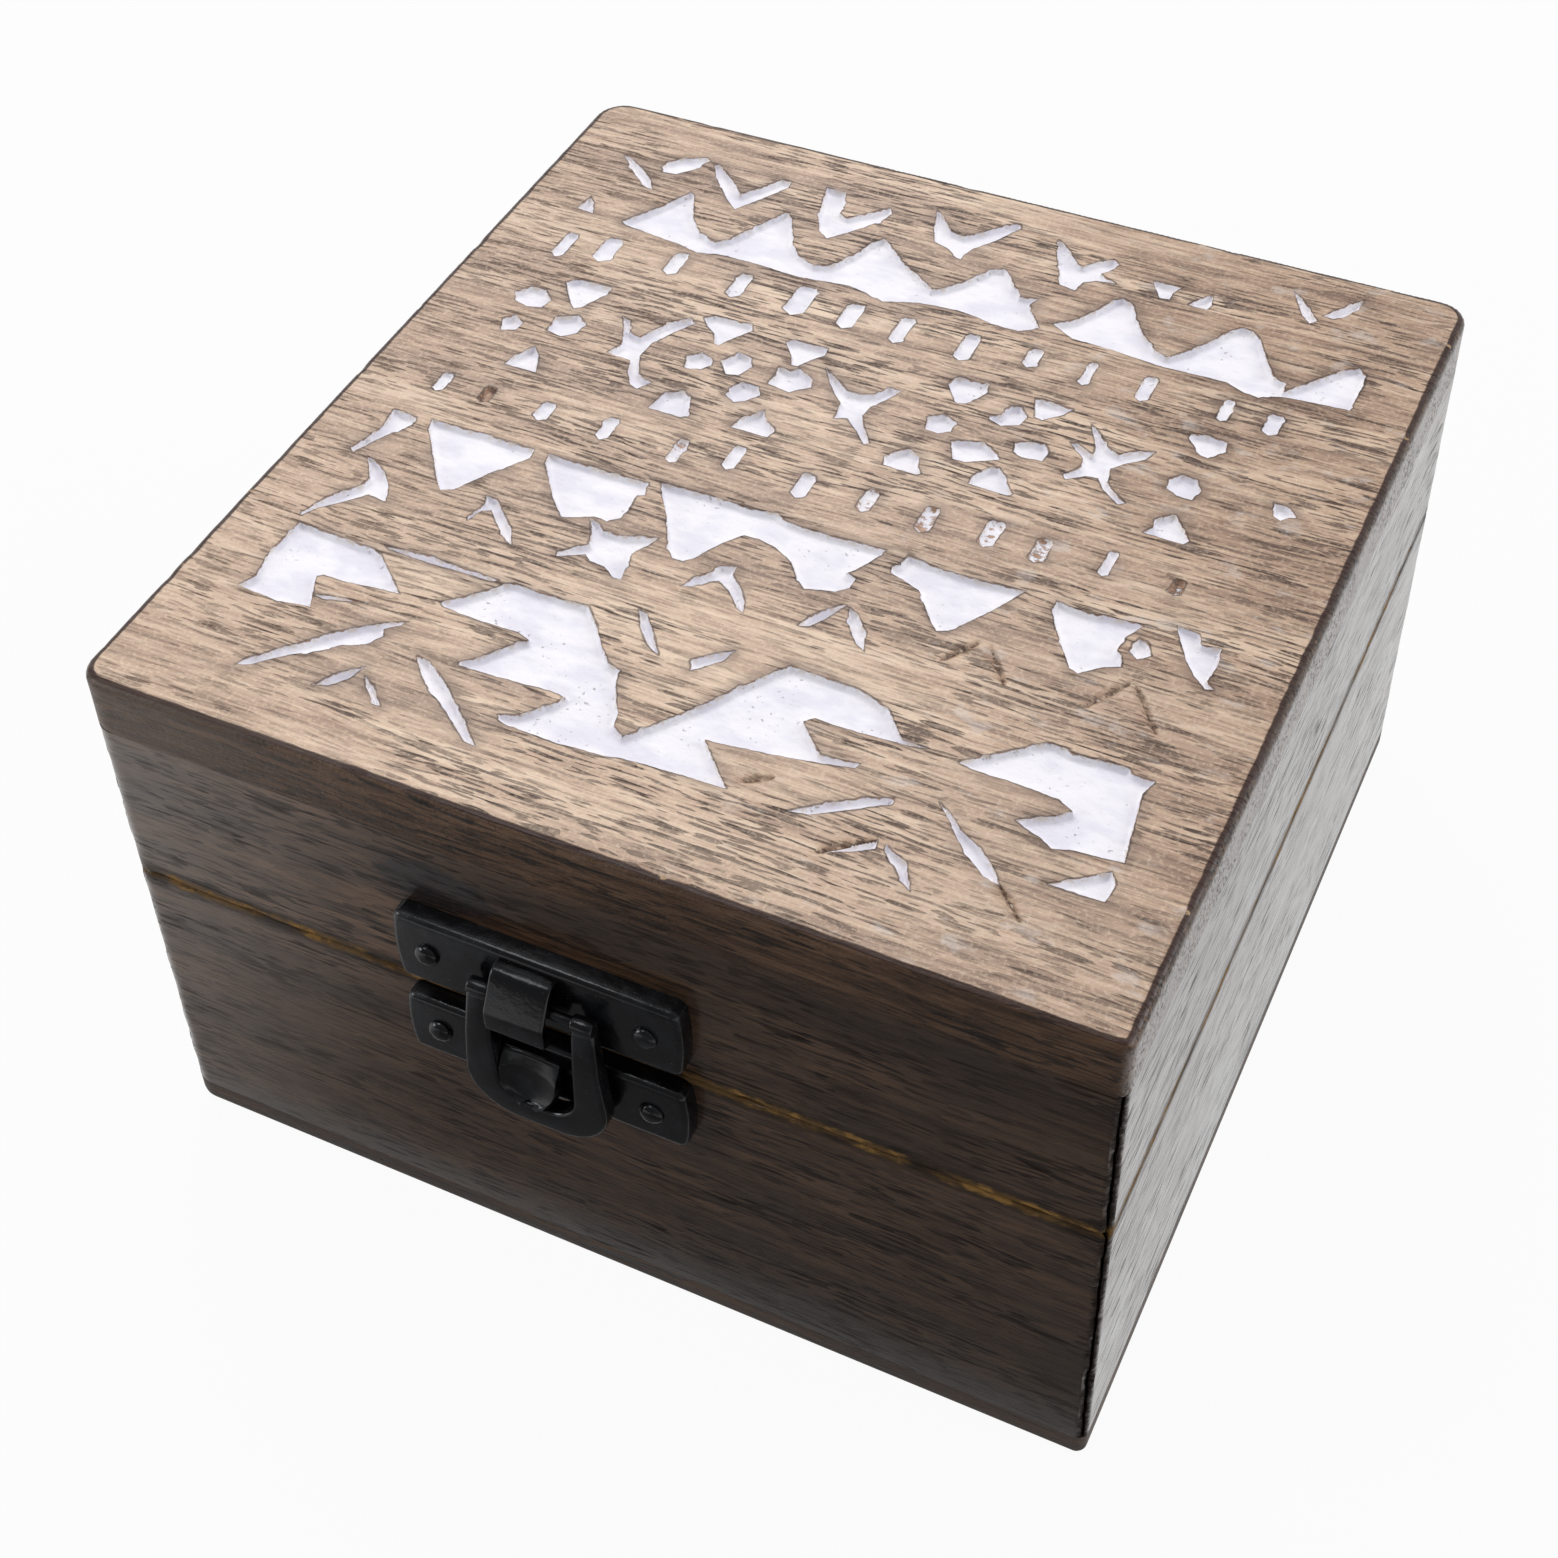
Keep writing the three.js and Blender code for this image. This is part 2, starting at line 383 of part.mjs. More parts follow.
const strokesAtFront = [
  [[-25.8, -33.2], [-27.4, -34], [-29.4, -35.4], [-31.6, -37.4], [-34, -40.2], [-36.6, -43], [-37.4, -44.4],
    [-36, -43.8], [-33.6, -41.4], [-31, -39.6], [-29.8, -38.2], [-28, -37.4], [-27, -35.8], [-27.4, -35]],
  [[-26.4, -39.8], [-28.2, -41.4], [-29.4, -43.6], [-28.2, -43.2], [-27, -41.8]],
  [[-25.8, -40.8], [-24.4, -41.6], [-22.4, -43.6], [-23.4, -43.4], [-25, -42]],
  [[-22.9, -36.6], [-21.4, -36.8], [-18.8, -38.6], [-15.6, -41.4], [-12.4, -44.3], [-13.6, -44.2],
    [-17, -41.6], [-20.4, -39.4], [-22.4, -37.4]],
  [[-7.4, -23.2], [-6.4, -23.4], [-4.4, -26], [-3, -27.8], [-4.6, -27], [-6.2, -25.2]],
  [[3, -24.4], [2.6, -26], [1.2, -27.6], [0.4, -28.4], [0, -27], [1.4, -25.6]],
  [[23, -34.9], [20.6, -36], [18, -37.8], [15.3, -40], [17.2, -39.6], [19.4, -38.2], [21.4, -36.8],
    [23, -35.7]],
  [[26.6, -33.8], [28, -34.6], [29.6, -36], [31.6, -37], [33.2, -38.4], [34.8, -40.4], [33, -39.8],
    [31, -38.4], [29.4, -36.8], [28, -35.2]],
  [[23.6, -39.8], [21.6, -41.4], [20, -42.8], [22, -42], [23.8, -40.8]],
  [[24.4, -39.9], [26.8, -41.2], [28.2, -43.8], [27, -43], [25.6, -41.4], [24.5, -40.7]],
];
// Chisel nicks: middle, back end, front end and width.
const nicks = [
  [-40.9, 26.2, 21.9, 1.4], [-36.2, 27.2, 22.7, 2.1], [-28.4, 27.6, 23.6, 1.6], [-20.5, 27, 22.7, 1.6],
  [-13.5, 27.6, 22.4, 2.3], [-7.7, 26.8, 22.4, 1.9], [-1.9, 26.8, 22.3, 1.5], [5.3, 26.8, 22.3, 1.7],
  [12, 27.2, 24, 1.5], [18, 27.4, 23.6, 1], [24.1, 27.5, 23.4, 1.4], [32.3, 27.2, 23.6, 1.1],
  [37.2, 26.8, 23.4, 1.5],
  [-40.9, -0.2, -3.2, 1.2], [-35.8, -0.4, -3, 1.3], [-29.2, -0.2, -3.2, 1.6], [-22.2, 0.2, -3.3, 1.4],
  [-14.3, 0, -3.7, 1.2], [-8.8, 1.3, -2.4, 1.4], [-0.9, 0.1, -3.4, 1.6], [5.6, 0.6, -2.8, 1.4],
  [11.8, 0.6, -3.2, 1.5], [18, 1.2, -2.7, 1.6], [23.1, 0.7, -2.8, 1.5], [29.4, 1.6, -2, 1],
  [36.2, 0.4, -1.8, 1.2],
];

// The pattern spreads with the lid that it is carved in.
function onLid([x, y]) {
  return [x * boxWidth / drawnLid.width, y * boxDepth / drawnLid.depth];
}

function nickOutline([middle, back, front, width]) {
  const half = width / 2;
  const slope = width / 3;
  return [
    [middle - half, back - slope],
    [middle - slope, back],
    [middle + slope, back],
    [middle + half, back - slope],
    [middle + half, front + slope],
    [middle, front],
    [middle - half, front + slope],
  ];
}

function carve(panel, outlines, depth) {
  let carved = panel;
  for (const outline of outlines) {
    const chip = riseFrom(outlineOf(outline.map(onLid)), boxHeight - depth, boxHeight + 1);
    carved = carved.subtract(solid(chip));
  }
  return carved;
}

const deepMotifs = [
  ...chevronsAtBack,
  ...joinedTriangles,
  ...dotsAndCrosses,
  ...hangingTriangles,
  ...chevronsAtFront,
  ...steppedShapes,
  ...strokesAtFront,
];
let lidTopBoard = board(topBoardBottom, boxHeight, true);
lidTopBoard = carve(lidTopBoard, deepMotifs, carveDepth);
lidTopBoard = carve(lidTopBoard, nicks.map(nickOutline), nickDepth);

// Domed pin: its shank runs through a plate into the wood behind. The head points along +Y.
function domedPin() {
  const tip = -plateThickness - shankLength;
  const profile = [
    [0, tip],
    [shankTipRadius, tip],
    [shankRadius, tip + shankRadius],
    [shankRadius, 0],
    [pinHeadRadius, 0],
    [pinHeadRadius * 0.92, pinHeadHeight * 0.45],
    [pinHeadRadius * 0.6, pinHeadHeight * 0.85],
    [0, pinHeadHeight],
  ];
  return turned(profile);
}

// Flat nail, sunk flush in a hinge leaf. The head points along +Y.
function sunkNail() {
  const tip = -leafThickness - shankLength;
  const neck = nailHeadRadius - shankRadius;
  const profile = [
    [0, tip],
    [shankTipRadius, tip],
    [shankRadius, tip + shankRadius],
    [shankRadius, -neck],
    [nailHeadRadius, 0],
    [0, 0],
  ];
  return turned(profile);
}

// The space that a sunk nail needs, larger all round by the hole clearance.
function sunkNailHole() {
  const tip = -leafThickness - shankLength - holeClearance;
  const neck = nailHeadRadius - shankRadius;
  const profile = [
    [0, tip],
    [shankRadius + holeClearance, tip],
    [shankRadius + holeClearance, -neck],
    [nailHeadRadius + holeClearance, 0],
    [nailHeadRadius + holeClearance, 1],
    [0, 1],
  ];
  return turned(profile);
}

function turned(profile) {
  const points = profile.map(([radius, height]) => new THREE.Vector2(radius, height));
  return new THREE.LatheGeometry(points, 14);
}

// The hasp plates: pressed steel with a bevelled rim and slightly bulging ends.
const plateFace = frontFace - plateThickness;
const haspBottom = lidBottom + haspPlateRise;
const haspMiddle = haspBottom + haspPlateHeight / 2;
const strikeTop = baseHeight - strikePlateDrop;
const strikeMiddle = strikeTop - strikePlateHeight / 2;
const pinOffset = plateWidth / 2 - pinInset;

function pressedPlate(middle, height) {
  const end = plateWidth / 2;
  const corner = end - plateEndBulge;
  const control = end + plateEndBulge;
  const shape = new THREE.Shape();
  shape.moveTo(haspOffset - corner, middle - height / 2);
  shape.lineTo(haspOffset + corner, middle - height / 2);
  shape.quadraticCurveTo(haspOffset + control, middle, haspOffset + corner, middle + height / 2);
  shape.lineTo(haspOffset - corner, middle + height / 2);
  shape.quadraticCurveTo(haspOffset - control, middle, haspOffset - corner, middle - height / 2);
  const rim = {
    bevelEnabled: true,
    bevelThickness: plateBevel,
    bevelSize: plateBevel,
    bevelOffset: -plateBevel,
    bevelSegments: 2,
  };
  const plate = solid(growForward(shape, frontFace, plateThickness - plateBevel, rim));
  const behind = block(-halfWidth, halfWidth, frontFace, frontFace + 2 * plateBevel, 0, boxHeight);
  return plate.subtract(behind);
}

function pinHole(x, z) {
  const start = plateFace - 1;
  const end = frontFace + shankLength + holeClearance;
  const radius = shankRadius + holeClearance;
  const drill = new THREE.CylinderGeometry(radius, radius, end - start, 14);
  return solid(drill.translate(x, (start + end) / 2, z));
}

function drillPins(body, middle) {
  return body
    .subtract(pinHole(haspOffset - pinOffset, middle))
    .subtract(pinHole(haspOffset + pinOffset, middle));
}

// The ring hangs on a bar inside the hood. Its eyes just clear the plate as it swings.
const pivotY = plateFace - runningClearance - eyeRadius;
const pivotZ = haspBottom + pivotRise;
const ringBack = plateFace - 2 * runningClearance;
const ringFront = ringBack - ringDepth;
const tongueMiddle = haspOffset + tongueShift;

// The hood: a strap of the hasp plate, folded out over the bar and curled in under it.
function hood() {
  const sheet = sheetThickness;
  const outer = pivotBarRadius + runningClearance + sheet;
  const root = plateFace - pivotY + sheet;
  const fold = [plateFace - hoodFold - pivotY, hoodRise];
  const lean = Math.atan2(fold[1], fold[0]) + Math.acos(outer / Math.hypot(...fold));
  const slopeAt = (radius, height) => (radius - height * Math.sin(lean)) / Math.cos(lean);
  const lip = slopeAt(outer, -hoodBreak);
  const inner = outer - sheet;
  const strap = outlineOf([
    [root, hoodRise],
    fold,
    [lip, -hoodBreak],
    [lip, sheet - hoodDrop],
    [lip + sheet, -hoodDrop],
    [0, -hoodDrop],
    [0, sheet - hoodDrop],
    [lip + 1.4 * sheet, sheet - hoodDrop],
    [lip + sheet, 1.4 * sheet - hoodDrop],
    [lip + sheet, Math.min(-hoodBreak, (inner - (lip + sheet) * Math.cos(lean)) / Math.sin(lean))],
    [slopeAt(inner, hoodRise - sheet), hoodRise - sheet],
    [root, hoodRise - sheet],
  ]);
  return solid(runAcross(strap, tongueMiddle, hoodWidth).translate(0, pivotY, pivotZ));
}

// The ring: a stirrup with two tapering arms, a rounded foot and a round bar across the top.
function stirrup() {
  const half = windowWidth / 2 + ringArmWidth;
  const narrow = half - ringTaper;
  const gap = windowWidth / 2;
  const foot = pivotZ - ringLength;
  const sill = foot + ringFootHeight + windowCornerRadius;
  const round = foot + ringCornerRadius;
  const shape = new THREE.Shape();
  const right = haspOffset + half - ringCornerRadius;
  const left = haspOffset - half + ringCornerRadius;
  const gapRight = haspOffset + gap - windowCornerRadius;
  const gapLeft = haspOffset - gap + windowCornerRadius;
  shape.moveTo(left, foot);
  shape.lineTo(right, foot);
  shape.absarc(right, round, ringCornerRadius, -Math.PI / 2, 0, false);
  shape.lineTo(haspOffset + narrow, pivotZ);
  shape.lineTo(haspOffset + gap, pivotZ);
  shape.lineTo(haspOffset + gap, sill);
  shape.absarc(gapRight, sill, windowCornerRadius, 0, -Math.PI / 2, true);
  shape.absarc(gapLeft, sill, windowCornerRadius, -Math.PI / 2, -Math.PI, true);
  shape.lineTo(haspOffset - gap, pivotZ);
  shape.lineTo(haspOffset - narrow, pivotZ);
  shape.lineTo(haspOffset - half, round);
  shape.absarc(left, round, ringCornerRadius, Math.PI, Math.PI * 1.5, false);
  const bevel = {
    bevelEnabled: true,
    bevelThickness: ringBevel,
    bevelSize: ringBevel,
    bevelOffset: -ringBevel,
    bevelSegments: 1,
  };
  const frame = solid(growForward(shape, ringBack - ringBevel, ringDepth - 2 * ringBevel, bevel));
  const below = -ringLength - 1;
  const shoulder = -1.8 * eyeRadius;
  const side = outlineOf([
    [ringBack + 1, 0],
    [pivotY - eyeRadius, 0],
    [ringFront, shoulder],
    [ringFront - 1, shoulder],
    [ringFront - 1, below],
    [ringBack + 1, below],
  ]);
  let ring = frame.intersect(solid(runAcross(side, haspOffset, 2 * half).translate(0, 0, pivotZ)));
  const eyeWidth = narrow - gap;
  for (const place of [-1, 1]) {
    const middle = haspOffset + place * (gap + eyeWidth / 2);
    ring = ring.add(rodAcross(middle, pivotY, pivotZ, eyeRadius, eyeWidth));
  }
  return ring.add(rodAcross(haspOffset, pivotY, pivotZ, pivotBarRadius, windowWidth + eyeWidth));
}

// The hook: a tongue of the strike plate whose tip just clears the ring's foot as the ring swings.
function hook() {
  const tipY = ringFront - runningClearance;
  const swing = ringLength - ringFootHeight - runningClearance;
  const tipZ = pivotZ - Math.sqrt(swing ** 2 - (pivotY - tipY) ** 2);
  const rootZ = strikeTop - plateBevel;
  const inPlate = plateFace + sheetThickness;
  const sheet = hookThickness;
  const tongue = outlineOf([
    [inPlate, rootZ],
    [plateFace - sheet / 2, rootZ],
    [plateFace - sheet, rootZ - sheet / 2],
    [tipY, tipZ + sheet],
    [tipY + sheet / 4, tipZ + sheet / 4],
    [tipY + sheet, tipZ + sheet / 4],
    [plateFace, rootZ - 2 * sheet],
    [inPlate, rootZ - 2 * sheet],
  ]);
  const half = hookWidth / 2;
  const front = new THREE.Shape();
  front.moveTo(tongueMiddle + half, rootZ + sheet);
  front.lineTo(tongueMiddle - half, rootZ + sheet);
  front.lineTo(tongueMiddle - half, tipZ + half);
  front.absarc(tongueMiddle, tipZ + half, half, Math.PI, Math.PI * 2, false);
  const sheetMetal = solid(runAcross(tongue, tongueMiddle, hookWidth + 1));
  return sheetMetal.intersect(solid(growForward(front, frontFace, plateThickness + 3 * ringDepth)));
}

const haspPlate = drillPins(pressedPlate(haspMiddle, haspPlateHeight).add(hood()), haspMiddle);
const strikePlate = drillPins(pressedPlate(strikeMiddle, strikePlateHeight).add(hook()), strikeMiddle);
lidWalls.front = drillPins(lidWalls.front, haspMiddle);
baseWalls.front = drillPins(baseWalls.front, strikeMiddle);

// The hinges: leaves let into the meeting edges, with the barrel standing clear behind the box.
const hingeY = backFace + barrelRadius + runningClearance;
const hingeZ = baseHeight + lidGap / 2;
const hingeCentre = halfWidth - hingeInset;
const middleKnuckle = leafWidth / 3;
const nailY = backFace - leafReach / 2;

function leafBlank(centre, bottom, top) {
  const reach = [backFace - leafReach, hingeY];
  return block(centre - leafWidth / 2, centre + leafWidth / 2, ...reach, bottom, top);
}

function knuckle(centre, length) {
  return rodAcross(centre, hingeY, hingeZ, barrelRadius, length);
}

function boreForPin(centre) {
  return rodAcross(centre, hingeY, hingeZ, hingePinRadius + holeClearance, leafWidth + 2);
}

function behindBox(x0, x1) {
  return block(x0, x1, backFace, hingeY + 2 * barrelRadius, 0, boxHeight);
}

function baseLeaf(centre) {
  const opening = middleKnuckle / 2 + runningClearance;
  const outerKnuckle = leafWidth / 2 - opening;
  let leaf = leafBlank(centre, baseHeight - leafThickness, baseHeight);
  leaf = leaf.subtract(behindBox(centre - opening, centre + opening));
  for (const side of [-1, 1]) {
    leaf = leaf.add(knuckle(centre + side * (opening + outerKnuckle / 2), outerKnuckle));
  }
  return leaf.subtract(boreForPin(centre));
}

function lidLeaf(centre) {
  let leaf = leafBlank(centre, lidBottom, lidBottom + leafThickness);
  leaf = leaf.subtract(behindBox(centre - leafWidth, centre - middleKnuckle / 2));
  leaf = leaf.subtract(behindBox(centre + middleKnuckle / 2, centre + leafWidth));
  return leaf.add(knuckle(centre, middleKnuckle)).subtract(boreForPin(centre));
}

function mortise(centre, bottom, top) {
  const half = leafWidth / 2 + holeClearance;
  const inner = backFace - leafReach - holeClearance;
  return block(centre - half, centre + half, inner, backFace + 1, bottom, top);
}

function hingePin(centre) {
  const shoulder = leafWidth / 2;
  const end = shoulder + hingePinHead;
  const headRadius = (hingePinRadius + barrelRadius) / 2;
  const profile = [
    [0, -end],
    [headRadius * 0.7, -end],
    [headRadius, -end + hingePinHead / 2],
    [headRadius, -shoulder],
    [hingePinRadius, -shoulder],
    [hingePinRadius, shoulder],
    [headRadius, shoulder],
    [headRadius, end - hingePinHead / 2],
    [headRadius * 0.7, end],
    [0, end],
  ];
  return solid(turned(profile).rotateZ(Math.PI / 2).translate(centre, hingeY, hingeZ));
}

// Nails point down into the base and up into the lid.
function onBase(geometry, x) {
  return solid(geometry.rotateX(Math.PI / 2).translate(x, nailY, baseHeight));
}

function onLidEdge(geometry, x) {
  return solid(geometry.rotateX(-Math.PI / 2).translate(x, nailY, lidBottom));
}

const hingeParts = [];
for (const [side, centre] of [['left', -hingeCentre], ['right', hingeCentre]]) {
  let lower = baseLeaf(centre);
  let upper = lidLeaf(centre);
  baseWalls.back = baseWalls.back.subtract(mortise(centre, baseHeight - leafThickness, baseHeight + 1));
  lidWalls.back = lidWalls.back.subtract(mortise(centre, lidBottom - 1, lidBottom + leafThickness));
  for (const [place, x] of [['a', centre - nailSpacing / 2], ['b', centre + nailSpacing / 2]]) {
    lower = lower.subtract(onBase(sunkNailHole(), x));
    upper = upper.subtract(onLidEdge(sunkNailHole(), x));
    baseWalls.back = baseWalls.back.subtract(onBase(sunkNailHole(), x));
    lidWalls.back = lidWalls.back.subtract(onLidEdge(sunkNailHole(), x));
    hingeParts.push([`${side}_hinge_base_nail_${place}`, onBase(sunkNail(), x)]);
    hingeParts.push([`${side}_hinge_lid_nail_${place}`, onLidEdge(sunkNail(), x)]);
  }
  hingeParts.push([`${side}_hinge_base_leaf`, lower]);
  hingeParts.push([`${side}_hinge_lid_leaf`, upper]);
  hingeParts.push([`${side}_hinge_pin`, hingePin(centre)]);
}

addPiece('bottom_board', bottomBoard, bottomWood);
for (const side of ['front', 'back', 'left', 'right']) {
  addPiece(`base_${side}_wall`, baseWalls[side], sideWood);
  addPiece(`lid_${side}_wall`, lidWalls[side], sideWood);
}
addPiece('lid_top_board', lidTopBoard, topWood);
addPiece('hasp_plate', haspPlate, blackSteel);
addPiece('hasp_ring', stirrup(), blackSteel);
addPiece('strike_plate', strikePlate, blackSteel);
for (const [place, x] of [['left', haspOffset - pinOffset], ['right', haspOffset + pinOffset]]) {
  const atFace = (z) => solid(domedPin().rotateX(Math.PI).translate(x, plateFace, z));
  addPiece(`hasp_plate_pin_${place}`, atFace(haspMiddle), blackSteel);
  addPiece(`strike_plate_pin_${place}`, atFace(strikeMiddle), blackSteel);
}
for (const [name, body] of hingeParts) {
  addPiece(name, body, blackSteel);
}

export default model;
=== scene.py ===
# A small hinged wooden box with a carved and painted lid and a black hasp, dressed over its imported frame.
# Lengths are in metres in the frame's own axes: the hasp faces -Y, the hinges +Y, and the box stands on Z = 0.
import math

import bmesh
import bpy
import numpy as np
from mathutils import Matrix, Vector, geometry, kdtree, noise


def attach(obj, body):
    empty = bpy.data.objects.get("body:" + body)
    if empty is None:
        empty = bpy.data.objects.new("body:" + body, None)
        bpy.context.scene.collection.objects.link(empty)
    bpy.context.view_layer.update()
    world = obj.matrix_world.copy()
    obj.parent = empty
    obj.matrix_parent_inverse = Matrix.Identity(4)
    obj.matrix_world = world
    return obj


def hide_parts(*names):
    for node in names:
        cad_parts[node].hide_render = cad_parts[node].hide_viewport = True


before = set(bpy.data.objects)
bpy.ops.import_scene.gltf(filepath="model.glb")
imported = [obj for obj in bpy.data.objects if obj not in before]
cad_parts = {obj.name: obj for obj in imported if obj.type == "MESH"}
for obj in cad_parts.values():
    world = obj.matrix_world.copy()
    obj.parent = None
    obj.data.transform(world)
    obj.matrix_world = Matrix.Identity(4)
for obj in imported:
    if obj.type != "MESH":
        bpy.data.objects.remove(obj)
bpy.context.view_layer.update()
# The vector noise would start from the clock, so it is set here and every run wears the walls and pins the same.
noise.seed_set(7)


# Bottom board
# A thin panel of the same stained wood as the walls, with rounded corners and its lower edge rounded over.
# It is glued under the four base walls, and its top is the bare floor of the box.
box_width = 0.1
box_depth = 0.103
corner_radii = (0.0026, 0.0011, 0.003, 0.0034)
bottom_thickness = 0.0033
bottom_rounding = 0.0012
bare_share = 0.54


class Wire:
    """A socket in a material. Arithmetic on wires adds the Math nodes that work it out."""

    def __init__(self, finish, socket):
        self.finish = finish
        self.socket = socket

    def maths(self, operation, *values):
        return self.finish.node("ShaderNodeMath", {"operation": operation}, values)

    def __add__(self, other):
        return self.maths("ADD", self, other)

    def __sub__(self, other):
        return self.maths("SUBTRACT", self, other)

    def __rsub__(self, other):
        return self.maths("SUBTRACT", other, self)

    def __mul__(self, other):
        return self.maths("MULTIPLY", self, other)

    def __truediv__(self, other):
        return self.maths("DIVIDE", self, other)

    def __abs__(self):
        return self.maths("ABSOLUTE", self)

    __radd__ = __add__
    __rmul__ = __mul__


class Finish:
    """A material in the making, with the place on the piece as a wire and as three wires x, y and z."""

    def __init__(self, name):
        self.material = bpy.data.materials.new(name)
        self.material.use_nodes = True
        self.tree = self.material.node_tree
        self.tree.nodes.clear()
        self.place = self.node("ShaderNodeTexCoord", {}, (), "Object")
        self.x = self.node("ShaderNodeSeparateXYZ", {}, (self.place,), 0)
        self.y = Wire(self, self.x.socket.node.outputs[1])
        self.z = Wire(self, self.x.socket.node.outputs[2])

    def node(self, kind, settings, inputs, output=0):
        """Adds a node: its settings first, then the value or wire of each input."""
        made = self.tree.nodes.new(kind)
        for setting, value in settings.items():
            if setting == "stops":
                stops = made.color_ramp.elements
                stops[0].position, stops[0].color = value[0]
                stops[1].position, stops[1].color = value[-1]
                for position, colour in value[1:-1]:
                    stops.new(position).color = colour
            else:
                setattr(made, setting, value)
        pairs = inputs.items() if isinstance(inputs, dict) else enumerate(inputs)
        for name, value in pairs:
            if isinstance(value, Wire):
                self.tree.links.new(value.socket, made.inputs[name])
            else:
                made.inputs[name].default_value = value
        return Wire(self, made.outputs[output]) if made.outputs else None

    def mottle(self, cell, shift=0.0, detail=3.0, rough=0.55, start=None):
        """Soft noise around 0.5 whose cells have these sizes along x, y and z."""
        settings = {"vector_type": "POINT"}
        scale = tuple(1 / size for size in cell)
        spread = self.node(
            "ShaderNodeMapping",
            settings,
            {"Vector": start or self.place, "Location": (shift, shift * 0.7, shift * 1.3), "Scale": scale},
        )
        inputs = {"Vector": spread, "Scale": 1.0, "Detail": detail, "Roughness": rough}
        return self.node("ShaderNodeTexNoise", {}, inputs)

    def step(self, value, start, end):
        """A smooth step from 0 to 1 between two values."""
        settings = {"interpolation_type": "SMOOTHSTEP", "clamp": True}
        return self.node("ShaderNodeMapRange", settings, {0: value, 1: start, 2: end, 3: 0.0, 4: 1.0})

    def mix(self, share, first, second, way="MIX"):
        """The first colour gives way to the second by this share."""
        settings = {"data_type": "RGBA", "blend_type": way, "clamp_factor": True}
        return self.node("ShaderNodeMix", settings, {0: share, 6: first, 7: second}, 2)

    def ramp(self, value, *stops):
        return self.node("ShaderNodeValToRGB", {"stops": stops}, (value,))

    def surface(self, colour, roughness, height, relief, **fixed):
        """Closes the material: relief is how far the bump stands up in metres."""
        bump = self.node(
            "ShaderNodeBump", {}, {"Strength": 1.0, "Distance": relief, "Height": height}, "Normal"
        )
        inputs = {"Base Color": colour, "Roughness": roughness, "Normal": bump}
        inputs.update({name.replace("_", " "): value for name, value in fixed.items()})
        shader = self.node("ShaderNodeBsdfPrincipled", {}, inputs)
        self.node("ShaderNodeOutputMaterial", {}, {"Surface": shader})
        return self.material


def shade(red, green, blue):
    """A colour as it is read off a screen, from 0 to 255, in the shader's own scale."""
    values = [part / 255 for part in (red, green, blue)]
    return tuple(v / 12.92 if v <= 0.04045 else ((v + 0.055) / 1.055) ** 2.4 for v in values) + (1.0,)


def timber(finish, along, shift, tones):
    """The grain of the box's wood, drawn out along axis 0 or 1. Tones go from pale to dark, then the pores.
    Gives the colour, the height of the grain, and how much of each place is open pore."""

    def drawn_out(length, width, step, detail=3.0):
        cell = [width] * 3
        cell[along] = length
        return finish.mottle(cell, shift + step, detail, 0.6, wandering)

    pale, middle, dark, pore = tones
    sway = finish.node("ShaderNodeTexNoise", {}, {"Vector": finish.place, "Scale": 38.0, "Detail": 2.0}, 1)
    wandering = finish.node(
        "ShaderNodeVectorMath", {"operation": "MULTIPLY_ADD"}, (sway, (0.0013,) * 3, finish.place)
    )
    bands = drawn_out(0.055, 0.0052, 0.0)
    streaks = drawn_out(0.016, 0.0011, 3.1)
    fibres = drawn_out(0.0065, 0.00027, 7.7, 2.0)
    crowded = finish.step(drawn_out(0.02, 0.005, 5.2), 0.36, 0.6)
    long_pores = finish.step(drawn_out(0.0052, 0.00042, 11.3, 0.3), 0.59, 0.65)
    short_pores = finish.step(drawn_out(0.0026, 0.00032, 15.9, 0.0), 0.59, 0.65)
    pores = (long_pores + 0.9 * short_pores) * (0.3 + 0.7 * crowded)
    tone = 0.4 * bands + 0.35 * streaks + 0.25 * fibres
    colour = finish.ramp(tone, (0.4, dark), (0.49, middle), (0.59, pale))
    colour = finish.mix(pores * 0.85, colour, pore)
    return colour, 0.35 * fibres + 0.3 * streaks - 0.8 * pores, pores


bare_wood = shade(190, 154, 116)
wall_tones = (shade(112, 83, 60), shade(84, 60, 42), shade(60, 42, 29), shade(32, 23, 18))


def clear_bench():
    bpy.ops.object.select_all(action="DESELECT")


def finish_shaping():
    bpy.ops.object.mode_set(mode="OBJECT")


def pick(piece, test):
    """In edit mode, selects just the edges that pass the test."""
    mesh = bmesh.from_edit_mesh(piece.data)
    for group in (mesh.verts, mesh.edges, mesh.faces):
        for part in group:
            part.select = False
    bpy.ops.mesh.select_mode(type="EDGE")
    for edge in mesh.edges:
        edge.select_set(test(edge))
    mesh.select_flush_mode()
    bmesh.update_edit_mesh(piece.data)


def start(name):
    """Names the primitive that was just added, frees it from its place and opens it for shaping."""
    piece = bpy.context.active_object
    piece.name = piece.data.name = name
    bpy.ops.object.transform_apply(location=True, rotation=True, scale=True)
    bpy.ops.object.mode_set(mode="EDIT")
    return piece


def block(name, low, high):
    """A sawn block between two corners, open for shaping."""
    clear_bench()
    middle = [(a + b) / 2 for a, b in zip(low, high)]
    size = [b - a for a, b in zip(low, high)]
    bpy.ops.mesh.primitive_cube_add(size=1, location=middle, scale=size)
    return start(name)


